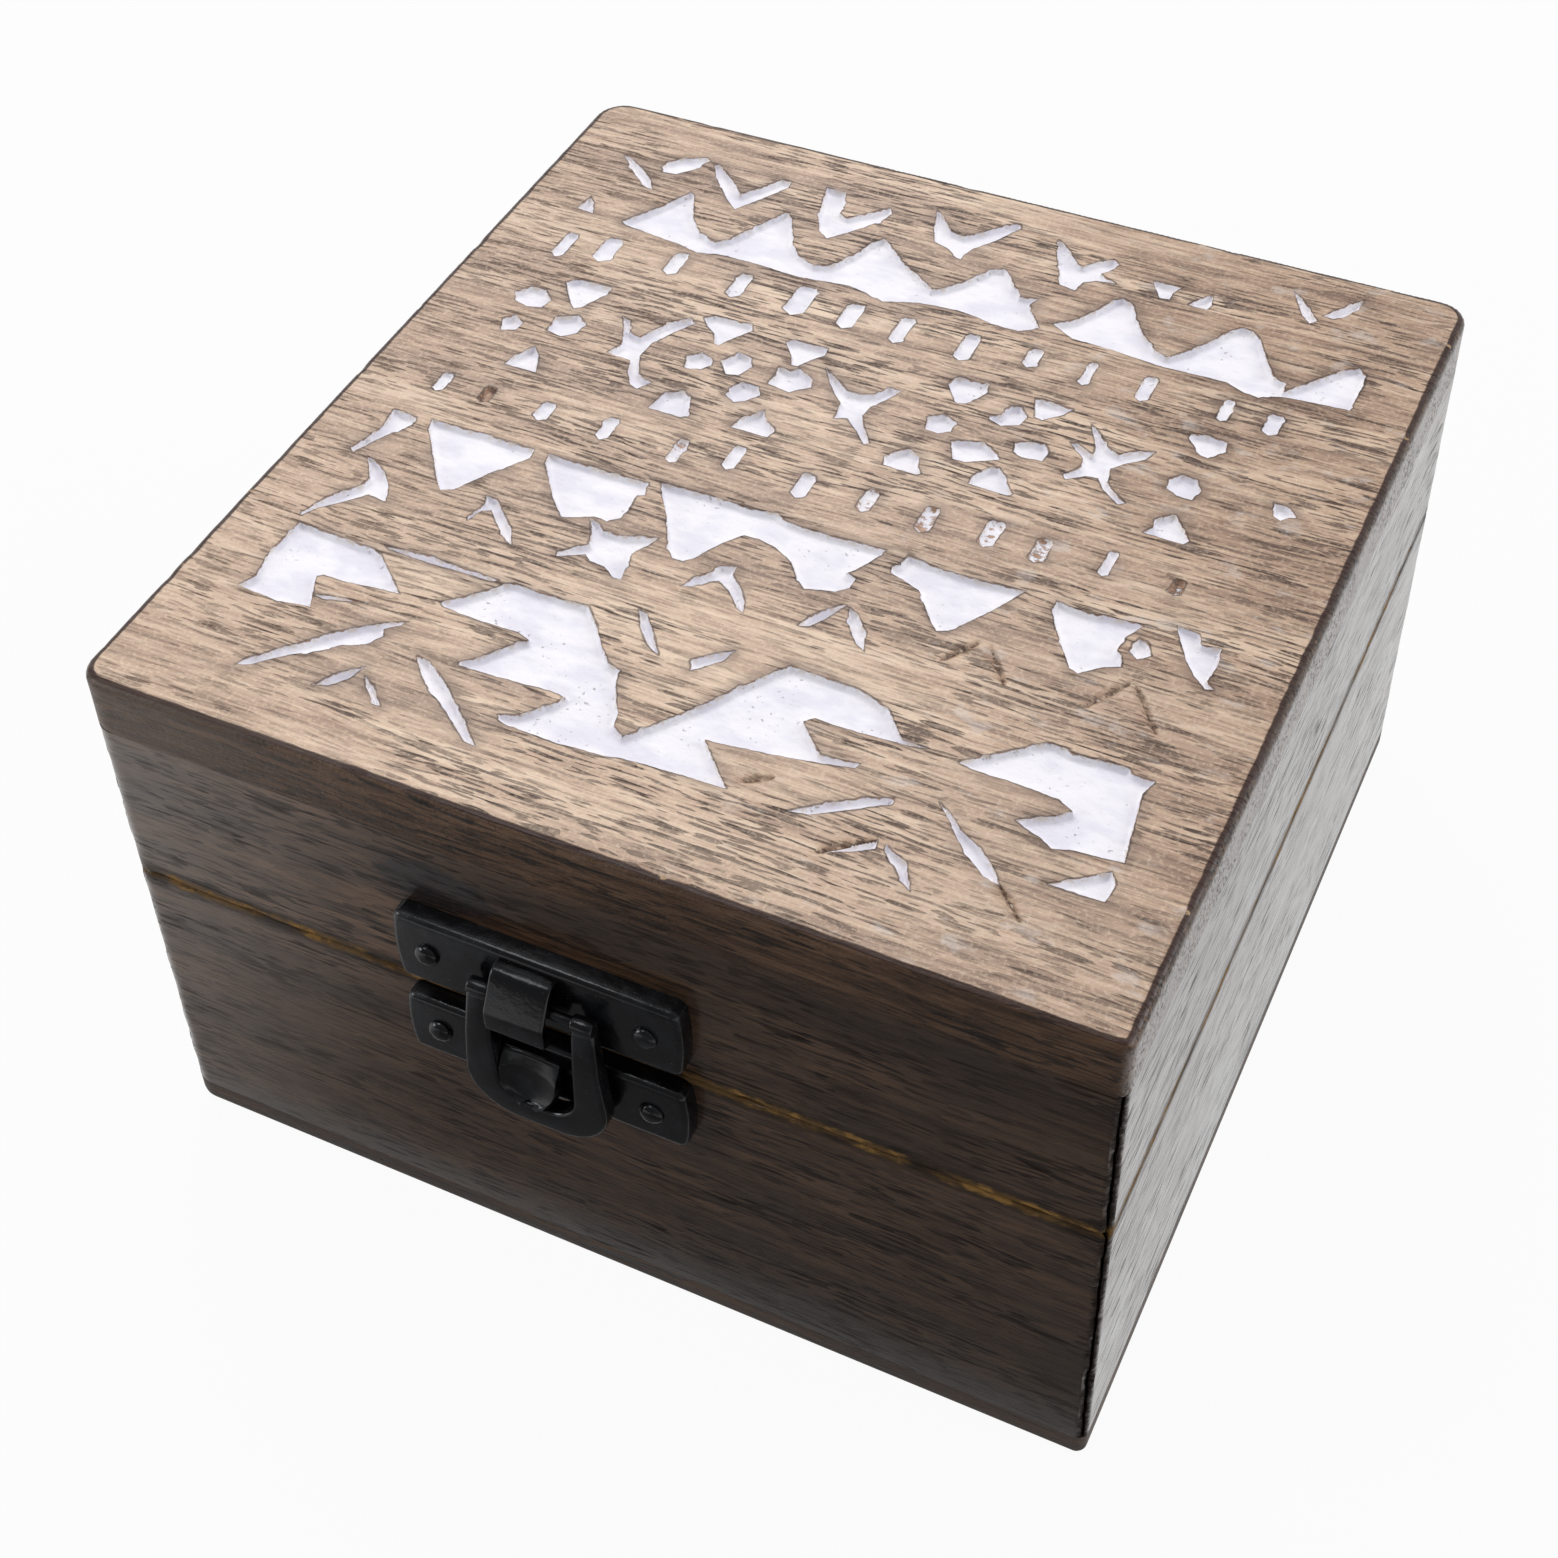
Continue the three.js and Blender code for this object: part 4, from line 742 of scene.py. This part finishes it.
def rim(inset, count):
    """Points along the board's outline, drawn in by an inset."""
    points = []
    for turn in range(4):
        radius = corner_radii[(turn + 2) % 4]
        middle = (np.array((box_width, box_depth)) / 2 - radius) * ((1, 1), (-1, 1), (-1, -1), (1, -1))[turn]
        for i in range(9):
            angle = (turn + i / 8) * math.pi / 2
            points.append(middle + max(radius - inset, 0) * np.array((math.cos(angle), math.sin(angle))))
    points = np.array(points)
    steps = np.roll(points, -1, axis=0) - points
    lengths = np.linalg.norm(steps, axis=1)
    path = np.concatenate(([0], np.cumsum(lengths)))
    at = np.linspace(0, path[-1], count, endpoint=False)
    leg = np.searchsorted(path, at, side="right") - 1
    return points[leg] + steps[leg] * ((at - path[leg]) / lengths[leg])[:, None]


outlines = [(*ragged(loop), depth) for loop, depth in carved_outlines()]
spots = sum(len(points) * 7 for points, side, depth in outlines)
near_cut = kdtree.KDTree(spots)
spot_motif = []
for motif, (points, side, depth) in enumerate(outlines):
    for here, onward in zip(points, np.roll(points, -1, axis=0)):
        for i in range(7):
            near_cut.insert(Vector((*(here + (onward - here) * i / 7), 0)), len(spot_motif))
            spot_motif.append(motif)
near_cut.balance()


def cut_distance(points):
    """How far each point is from the nearest cut edge, and which motif that edge belongs to."""
    found = [near_cut.find(Vector((x, y, 0))) for x, y in points]
    return np.array([f[2] for f in found]), np.array([spot_motif[f[1]] for f in found])


def honeycomb(spacing):
    """Staggered rows of points over the board."""
    rows = np.arange(-box_depth / 2, box_depth / 2, spacing * math.sqrt(3) / 2)
    columns = np.arange(-box_width / 2, box_width / 2, spacing)
    staggered = [columns + spacing / 2 * (i % 2) for i in range(len(rows))]
    return np.concatenate([np.column_stack((row, np.full(len(row), y))) for row, y in zip(staggered, rows)])


def inside_any(points):
    found = np.zeros(len(points), bool)
    for loop, side, depth in outlines:
        found |= holds(loop, points)
    return found


scattered = []
for spacing, wanted, clearance in ((0.00085, False, 0.00045), (0.00042, True, 0.0002)):
    points = honeycomb(spacing)
    points = points[inset_from_rim(points) > 0.0021]
    distance, motif = cut_distance(points)
    scattered.append(points[(inside_any(points) == wanted) & (distance > clearance)])
for offset in (0.00013, 0.00035, -0.00008, -0.0002, -0.00038):
    points = np.concatenate([loop + side * offset for loop, side, depth in outlines])
    distance, motif = cut_distance(points)
    scattered.append(points[(distance > abs(offset) * 0.85) & (inside_any(points) == (offset < 0))])
for x0, y0, x1, y1 in bare_scratches:
    run = np.array((x1 - x0, y1 - y0))
    across = np.array((run[1], -run[0])) / np.linalg.norm(run)
    for offset in (-0.0005, -0.00025, 0, 0.00025, 0.0005):
        along_scratch = np.linspace(-0.05, 1.05, 18)[:, None]
        scattered.append(np.array((x0, y0)) + along_scratch * run + across * offset)
rims = [rim(inset, 640) for inset in (0, 0.00006, 0.00025, 0.00055, 0.0009, 0.0012, 0.0017)]

corners = []
sides = []
for points, side, depth in outlines:
    base = len(corners)
    corners += [tuple(p) for p in points]
    sides += [(base + i, base + (i + 1) % len(points)) for i in range(len(points))]
for points in scattered + rims:
    corners += [tuple(p) for p in points]
sheet = geometry.delaunay_2d_cdt([Vector(p) for p in corners], sides, [], 0, 1e-7, False)
face_points = np.array([(v.x, v.y) for v in sheet[0]])
triangles = [list(face) for face in sheet[2]]

distance, motif = cut_distance(face_points)
inside = np.zeros(len(face_points), bool)
for loop, side, depth in outlines:
    inside |= holds(loop, face_points)
inside &= distance > 1e-7
motif_depth = np.array([depth for points, side, depth in outlines])[motif]
cover = np.ones(len(face_points))
for (x, y), share in bare_nicks.items():
    middles = np.array([points.mean(0) for points, side, depth in outlines])
    nearest = int(np.argmin(np.linalg.norm(middles - np.array((x, y)), axis=1)))
    cover[motif == nearest] = share

inset = inset_from_rim(face_points)
drop = np.zeros(len(face_points))
for i, (x, y) in enumerate(face_points):
    if inside[i]:
        reach = min(1.0, distance[i] / gouge_reach)
        floor_wave = 0.12 * noise.noise(Vector((x * 260, y * 420, 3.3)))
        floor_wave += 0.05 * noise.noise(Vector((x * 1300, y * 1900, 8.8)))
        drop[i] = paint_level * motif_depth[i] * (1 - (1 - reach) ** 2.4) * (0.86 + floor_wave)
    else:
        burr = math.exp(-((distance[i] - 0.0001) / 0.00014) ** 2)
        drop[i] = 0.00004 * burr * abs(noise.noise(Vector((x * 900, y * 900, 2.2))))
scratch = np.full(len(face_points), 1.0)
for x0, y0, x1, y1 in bare_scratches:
    run = np.array((x1 - x0, y1 - y0))
    share = np.clip(((face_points - (x0, y0)) @ run) / (run @ run), 0, 1)
    away = np.linalg.norm(face_points - (x0, y0) - share[:, None] * run, axis=1)
    scratch = np.minimum(scratch, away / (0.00045 * (1.15 - np.abs(share - 0.5))))
for x, y, radius in bare_dots:
    scratch = np.minimum(scratch, 0.25 + 0.75 * np.linalg.norm(face_points - (x, y), axis=1) / radius)
drop += np.where(inside, 0, 0.0003 * np.clip(1 - scratch, 0, 1))
rounded = np.clip(edge_rounding - inset, 0, edge_rounding)
drop += edge_rounding - np.sqrt(edge_rounding**2 - rounded**2)
height = box_height - drop

lid_data = bpy.data.meshes.new("carved_lid_board")
lid_data.from_pydata(np.column_stack((face_points, height)).tolist(), [], triangles)
lid_board = bpy.data.objects.new("carved_lid_board", lid_data)
bpy.context.scene.collection.objects.link(lid_board)
for label, values in (
    ("cut", np.where(inside, distance, -distance) * 1000),
    ("cover", cover),
    ("scratch", 1 - np.clip(scratch, 0, 1)),
    ("inset", inset * 1000),
):
    lid_data.attributes.new(label, "FLOAT", "POINT").data.foreach_set("value", values.astype(np.float32))

clear_bench()
lid_board.select_set(True)
bpy.context.view_layer.objects.active = lid_board
bpy.ops.object.mode_set(mode="EDIT")
pick(lid_board, lambda edge: edge.is_boundary)
for fall in (0.0006, 0.0012, 0.0013, 0.0013, 0.0013):
    bpy.ops.mesh.extrude_region_move(TRANSFORM_OT_translate={"value": (0, 0, -fall)})
bpy.ops.mesh.edge_face_add()
bpy.ops.mesh.select_all(action="SELECT")
bpy.ops.mesh.normals_make_consistent(inside=False)
finish_shaping()
for v in lid_data.vertices:
    reach = inset_from_rim(np.array([v.co.xy]))[0]
    if reach < 0.0013 and v.co.z > lid_walls_top + 0.0001:
        outward = Vector((v.co.x / box_width, v.co.y / box_depth, 0.4)).normalized()
        chip = max(0.0, noise.noise(v.co * 420) - 0.32) * math.exp(-((v.co.z - box_height + 0.0006) / 0.0008) ** 2)
        uneven = 0.00005 * abs(noise.noise(v.co * 300)) + 0.00003 * abs(noise.noise(v.co * 1400))
        v.co -= outward * (0.0004 * chip + uneven * min(1, (v.co.z - lid_walls_top) / 0.002))

lid_finish = Finish("lid_board_sanded")
step, mix, mottle = lid_finish.step, lid_finish.mix, lid_finish.mottle
x_at, y_at, z_at = lid_finish.x, lid_finish.y, lid_finish.z
cut, cover_share, scratched, from_rim = (
    lid_finish.node("ShaderNodeAttribute", {"attribute_type": "GEOMETRY", "attribute_name": label}, (), "Fac")
    for label in ("cut", "cover", "scratch", "inset")
)
face_tones = (shade(222, 195, 169), shade(189, 158, 133), shade(146, 116, 96), shade(74, 56, 48))
face, face_grain, face_pores = timber(lid_finish, 0, 44.0, face_tones)
edge = timber(lid_finish, 0, 61.0, wall_tones)[0]
edge = mix(0.2, edge, shade(46, 34, 25))
# Painted sheen: the board's sides are paler and greyer towards the left, as on the walls.
edge = mix(step(x_at, -0.012, -0.045) * 0.35, edge, shade(112, 98, 88))
fine = mottle((0.00045, 0.00045, 0.00045), 3.0, 2.0)
patches = mottle((0.014, 0.006, 0.006), 8.0, 3.0)
smudge = mottle((0.0035, 0.0022, 0.0022), 12.0, 4.0)
# Lighter patches towards the front of the face, darker ones towards the back.
toward_front = step(y_at, 0.01, -0.05)
face = mix(toward_front * step(patches, 0.35, 0.65) * 0.15, face, shade(236, 212, 184))
face = mix((1 - toward_front) * step(patches, 0.42, 0.62) * 0.12, face, shade(132, 104, 88))
left_side = step(x_at, -0.015, -0.045)
face = mix(left_side * 0.25, face, shade(158, 124, 96))
right_side = step(x_at, 0.0, 0.05) * (0.35 + 0.65 * step(patches, 0.3, 0.6))
face = mix(right_side * 0.25, face, shade(128, 102, 86))
face = mix(step(fine, 0.5, 0.66) * 0.2, face, shade(246, 222, 194))
chalk = step(smudge, 0.58, 0.7) * step(x_at, 0.002, 0.024)
face = mix(chalk * 0.4, face, shade(206, 196, 190))
away = 0 - cut
halo = step(away, 1.5, 0.0) * step(patches, 0.38, 0.62)
face = mix(halo * 0.5, face, shade(100, 75, 62))
# A thin dark line along each cut's lip: partly stain, partly painted shadow where the edge drops into the recess.
lip_stain_and_shadow = step(away + (smudge - 0.5) * 0.6, 0.2, 0.04)
face = mix(lip_stain_and_shadow * 0.75, face, shade(52, 38, 32))
torn = mottle((0.0009, 0.0005, 0.0005), 51.0, 4.0)
face = mix(scratched * step(torn, 0.4, 0.6), face, shade(96, 70, 54))
face = mix(scratched * step(torn, 0.6, 0.66) * 0.8, face, shade(226, 208, 190))
side_share = step(from_rim + (smudge - 0.5) * 0.2, 0.4, 0.25)
rim_line = step(from_rim + (smudge - 0.5) * 0.4, 0.92, 0.76)
face = mix(rim_line * 0.95, face, shade(48, 22, 14))
colour = mix(side_share, face, edge)
chipped = step(smudge, 0.66, 0.7) * rim_line * (1 - side_share)
colour = mix(chipped * 0.7, colour, shade(206, 170, 128))

lumps = mottle((0.0016, 0.0012, 0.0012), 21.0, 4.0)
pits = step(mottle((0.0005, 0.00045, 0.00045), 27.0, 2.0), 0.66, 0.72)
crumbly = step(mottle((0.006, 0.005, 0.005), 29.0, 1.0), 0.54, 0.64)
cool = mottle((0.005, 0.003, 0.003), 38.0, 2.0)
white = mix(step(cool, 0.4, 0.65), shade(246, 243, 248), shade(232, 229, 238))
white = mix(pits * (0.12 + 0.5 * crumbly), white, shade(186, 176, 180))
thin = mottle((0.0009, 0.0006, 0.0006), 41.0, 4.0)
cream = step(cut, 0.3, 0.03) * step(thin, 0.5, 0.6)
white = mix(cream * 0.6, white, shade(216, 196, 172))
painted = step(cover_share + (thin - 0.5) * 1.6, 0.35, 0.55)
painted = painted * step(cut + (thin - 0.5) * 0.3, 0.0, 0.05)
bare = mix(step(thin, 0.4, 0.6), shade(176, 140, 116), shade(104, 80, 66))
underside = step(z_at, lid_walls_top + 0.0002, lid_walls_top + 0.00005)
colour = mix(underside * within(lid_finish) * bare_share, colour, bare_wood)
in_cut = step(cut, -0.02, 0.03) * (1 - underside)
colour = mix(in_cut, colour, bare)
colour = mix(painted, colour, white)
rough = 0.42 + 0.15 * smudge + 0.05 * painted
height = (1 - painted) * (face_grain + 0.7 * fine) + painted * (1.2 * lumps - 0.8 * pits * (0.2 + crumbly))
end_grain = step(abs(x_at), 0.0488, 0.0496)
wax = (1 - painted) * (0.5 - 0.35 * side_share + 0.8 * side_share * end_grain) * (1 - 0.8 * face_pores)
coat = {"Coat_Weight": wax, "Coat_IOR": 1.35, "Coat_Roughness": 0.22}
material = lid_finish.surface(colour, rough, height, 0.00012, Specular_IOR_Level=0.3, **coat)
done(lid_board, material, "lid", "lid_top_board", crease=50)


# Hasp plate
# The lid's plate, pressed and painted like the strike plate. Its hood is folded forward over the ring's bar and
# curled back under it, and two domed pins hold it to the lid's front wall.
hasp_plate = pressed_plate("hasp_plate_pressed", 0.0395, 0.0483)
hood_profile = (
    (-0.0529, 0.0472), (-0.054, 0.0472), (-0.0547, 0.04695), (-0.0552, 0.0462), (-0.05678, 0.0433),
    (-0.05678, 0.0412), (-0.05618, 0.0406), (-0.05475, 0.0406),
)
hood = strap("hood", hood_profile, tongue_middle, width=0.006, thickness=0.0006, fold=0.0003)
join(hasp_plate, hood)
done(hasp_plate, black_paint("hasp_plate_paint", 12.0), "lid", "hasp_plate")
for side, sign in (("left", -1), ("right", 1)):
    pin = domed_pin("hasp_pin_" + side, hasp_middle + sign * pin_spread, 0.0439, 2.1 * sign)
    done(pin, black_paint("hasp_pin_paint_" + side, 18.0 + sign), "lid", "hasp_plate_pin_" + side)


# Hasp ring
# A cast steel stirrup, painted gloss black, with a thin bar across its eyes. It swings on that bar inside the
# hood, and its foot drops behind the hook.
ring_middle = -0.0029
ring_back = -0.0541
ring_front = -0.0561
pivot = (-0.05475, 0.044)
window_half = 0.0041
left_arm = [((-0.0064, 0.0437), (-window_half, 0.0437)), ((-0.0068, 0.0385), (-window_half, 0.038))]
for i in range(11):
    turn = math.pi + math.pi / 2 * i / 10
    outer = (-0.0023 + 0.005 * math.cos(turn), 0.0329 + 0.005 * math.sin(turn))
    inner = (-0.0009 + 0.003 * math.cos(turn), 0.0335 + 0.003 * math.sin(turn))
    left_arm.append((outer, inner))
pairs = left_arm + [((-outer[0], outer[1]), (-inner[0], inner[1])) for outer, inner in reversed(left_arm)]
clear_bench()
bpy.ops.mesh.primitive_plane_add(size=1, location=(0, 0, 0))
ring = start("ring")
mesh = bmesh.from_edit_mesh(ring.data)
first_row = {True: pairs[0], False: pairs[1]}
for v in mesh.verts:
    x, z = first_row[v.co.y > 0][0 if v.co.x < 0 else 1]
    v.co = (ring_middle + x, ring_front, z)
bmesh.update_edit_mesh(ring.data)
for before, after in zip(pairs[1:], pairs[2:]):
    ends = [Vector((ring_middle + x, ring_front, z)) for x, z in before]
    pick(ring, lambda edge: all(min((v.co - end).length for end in ends) < 1e-6 for v in edge.verts)
         and edge.is_boundary)
    bpy.ops.mesh.extrude_region_move(TRANSFORM_OT_translate={"value": (0, 0, 0)})
    mesh = bmesh.from_edit_mesh(ring.data)
    moved = [v for v in mesh.verts if v.select]
    for v in moved:
        x, z = after[0 if (v.co - ends[0]).length < (v.co - ends[1]).length else 1]
        v.co = (ring_middle + x, ring_front, z)
    bmesh.update_edit_mesh(ring.data)
bpy.ops.mesh.select_all(action="SELECT")
bpy.ops.mesh.extrude_region_move(TRANSFORM_OT_translate={"value": (0, ring_back - ring_front, 0)})
bpy.ops.mesh.select_all(action="SELECT")
bpy.ops.mesh.normals_make_consistent(inside=False)
mesh = bmesh.from_edit_mesh(ring.data)
for v in mesh.verts:
    if v.co.y < -0.056:
        v.co.y += max(0, v.co.z - 0.0405) * 0.2
bmesh.update_edit_mesh(ring.data)
finish_shaping()
use(ring, "BEVEL", width=0.00045, segments=4, limit_method="ANGLE", angle_limit=math.radians(40))


def rod(name, middle, length, radius, rounding, sides, segments):
    """A round rod across the ring on its pivot, its ends a little rounded."""
    clear_bench()
    across = (0, math.pi / 2, 0)
    bpy.ops.mesh.primitive_cylinder_add(
        vertices=sides, radius=radius, depth=length, location=(middle, *pivot), rotation=across
    )
    piece = start(name)
    pick(piece, lambda edge: sum(len(face.verts) > 4 for face in edge.link_faces) == 1)
    bpy.ops.mesh.bevel(offset=rounding, segments=segments)
    finish_shaping()
    return piece


for sign in (-1, 1):
    join(ring, rod("eye", ring_middle + sign * 0.0052, 0.0022, 0.00085, 0.0002, 32, 3))
join(ring, rod("bar", ring_middle, 0.0098, 0.0005, 0.0001, 24, 2))
done(ring, black_paint("ring_paint", 23.0), "hasp", "hasp_ring")


# Floor and backdrop
# A wide pale table top. The camera and glossy surfaces see it nearly white, and it keeps the box's soft shadow.
# Right in front of the box, reflections see painted shade: a dark patch in place of the box's shadow there.
clear_bench()
bpy.ops.mesh.primitive_plane_add(size=6, location=(0, 0, 0))
floor = start("floor")
bpy.ops.mesh.subdivide(number_cuts=1)
finish_shaping()
floor_finish = Finish("floor_paper")
rays = floor_finish.node("ShaderNodeLightPath", {}, (), "Is Camera Ray")
glossy = Wire(floor_finish, rays.socket.node.outputs["Is Glossy Ray"])
through = Wire(floor_finish, rays.socket.node.outputs["Is Transmission Ray"])
shine = glossy.maths("MAXIMUM", glossy, through)
seen = rays.maths("MAXIMUM", rays * 0.945, shine * 0.85)
# Painted shade: a dark patch in front of the box, seen only by reflections.
in_front = floor_finish.step(floor_finish.y, -0.047, -0.058) * floor_finish.step(floor_finish.x, -0.105, -0.025)
shaded = shine * in_front * floor_finish.step(floor_finish.x, 0.11, 0.065) * 0.86
paper = floor_finish.node("ShaderNodeBsdfDiffuse", {}, {"Color": (0.62, 0.62, 0.62, 1.0)})
white = floor_finish.node("ShaderNodeEmission", {}, {"Color": (1.0, 1.0, 1.0, 1.0), "Strength": 1.0})
both = floor_finish.node("ShaderNodeMixShader", {}, (seen, paper, white))
painted_shade_sheet = floor_finish.node("ShaderNodeBsdfDiffuse", {}, {"Color": (0.03, 0.03, 0.035, 1.0)})
mirrored = floor_finish.node("ShaderNodeMixShader", {}, (shaded, both, painted_shade_sheet))
floor_finish.node("ShaderNodeOutputMaterial", {}, {"Surface": mirrored})
floor.data.materials.append(floor_finish.material)


# Light
# A large soft lamp above and behind, a small one above the left, one at the right, a weak card at the front left,
# and a pale sky that is brighter at the back.
sky = bpy.data.worlds.new("soft_sky")
bpy.context.scene.world = sky
sky.use_nodes = True
sky.node_tree.nodes.clear()
sky_light = sky.node_tree.nodes.new("ShaderNodeBackground")
sky_light.inputs["Color"].default_value = (0.95, 0.97, 1.0, 1.0)
sky_out = sky.node_tree.nodes.new("ShaderNodeOutputWorld")
sky.node_tree.links.new(sky_light.outputs[0], sky_out.inputs[0])
direction = sky.node_tree.nodes.new("ShaderNodeTexCoord")
parts = sky.node_tree.nodes.new("ShaderNodeSeparateXYZ")
sky.node_tree.links.new(direction.outputs["Generated"], parts.inputs[0])
brightness = sky.node_tree.nodes.new("ShaderNodeMapRange")
for socket, value in ((1, -0.8), (2, 0.8), (3, 0.2), (4, 0.62)):
    brightness.inputs[socket].default_value = value
sky.node_tree.links.new(parts.outputs["Y"], brightness.inputs[0])
sky.node_tree.links.new(brightness.outputs[0], sky_light.inputs["Strength"])


def lamp(name, place, aim, size, power, tint):
    light = bpy.data.lights.new(name, "AREA")
    light.shape = "SQUARE"
    light.size = size
    light.energy = power
    light.color = tint
    holder = bpy.data.objects.new(name, light)
    bpy.context.scene.collection.objects.link(holder)
    holder.location = place
    holder.rotation_euler = (Vector(aim) - Vector(place)).to_track_quat("-Z", "Y").to_euler()


lamp("window_behind", (-0.42, 0.55, 0.78), (0, 0, 0.04), 0.6, 5.1, (1.0, 0.98, 0.95))
lamp("window_above", (-0.34, -0.28, 0.9), (0, 0, 0.04), 0.3, 1.0, (0.95, 0.97, 1.0))
lamp("window_right", (0.75, 0.25, 0.45), (0, 0, 0.04), 0.5, 3.0, (0.93, 0.95, 1.0))
lamp("card_left", (-0.3, -0.22, 0.16), (-0.03, -0.05, 0.04), 0.16, 0.4, (0.94, 0.96, 1.0))


# Camera
# The photograph's own view: from above the front right corner, a little rolled, cropped off centre.
azimuth = math.radians(27.56)
elevation = math.radians(43.64)
roll = math.radians(2.46)
image_size = 1558
focal_pixels = 2569.09
centre_pixels = (738.3, 614.19)
flat = math.cos(elevation)
back = Vector((math.sin(azimuth) * flat, -math.cos(azimuth) * flat, math.sin(elevation)))
level = Vector((math.cos(azimuth), math.sin(azimuth), 0))
rise = back.cross(level)
image_right = math.cos(roll) * level - math.sin(roll) * rise
image_up = math.cos(roll) * rise + math.sin(roll) * level
lens = bpy.data.cameras.new("camera")
lens.sensor_width = 36
lens.lens = 36 * focal_pixels / image_size
lens.shift_x = (image_size / 2 - centre_pixels[0]) / image_size
lens.shift_y = (centre_pixels[1] - image_size / 2) / image_size
lens.clip_start = 0.01
camera = bpy.data.objects.new("camera", lens)
bpy.context.scene.collection.objects.link(camera)
camera.matrix_world = Matrix((image_right, image_up, back)).transposed().to_4x4()
camera.location = (0.0793, -0.1698, 0.224)
bpy.context.scene.camera = camera
bpy.context.scene.view_settings.view_transform = "Standard"
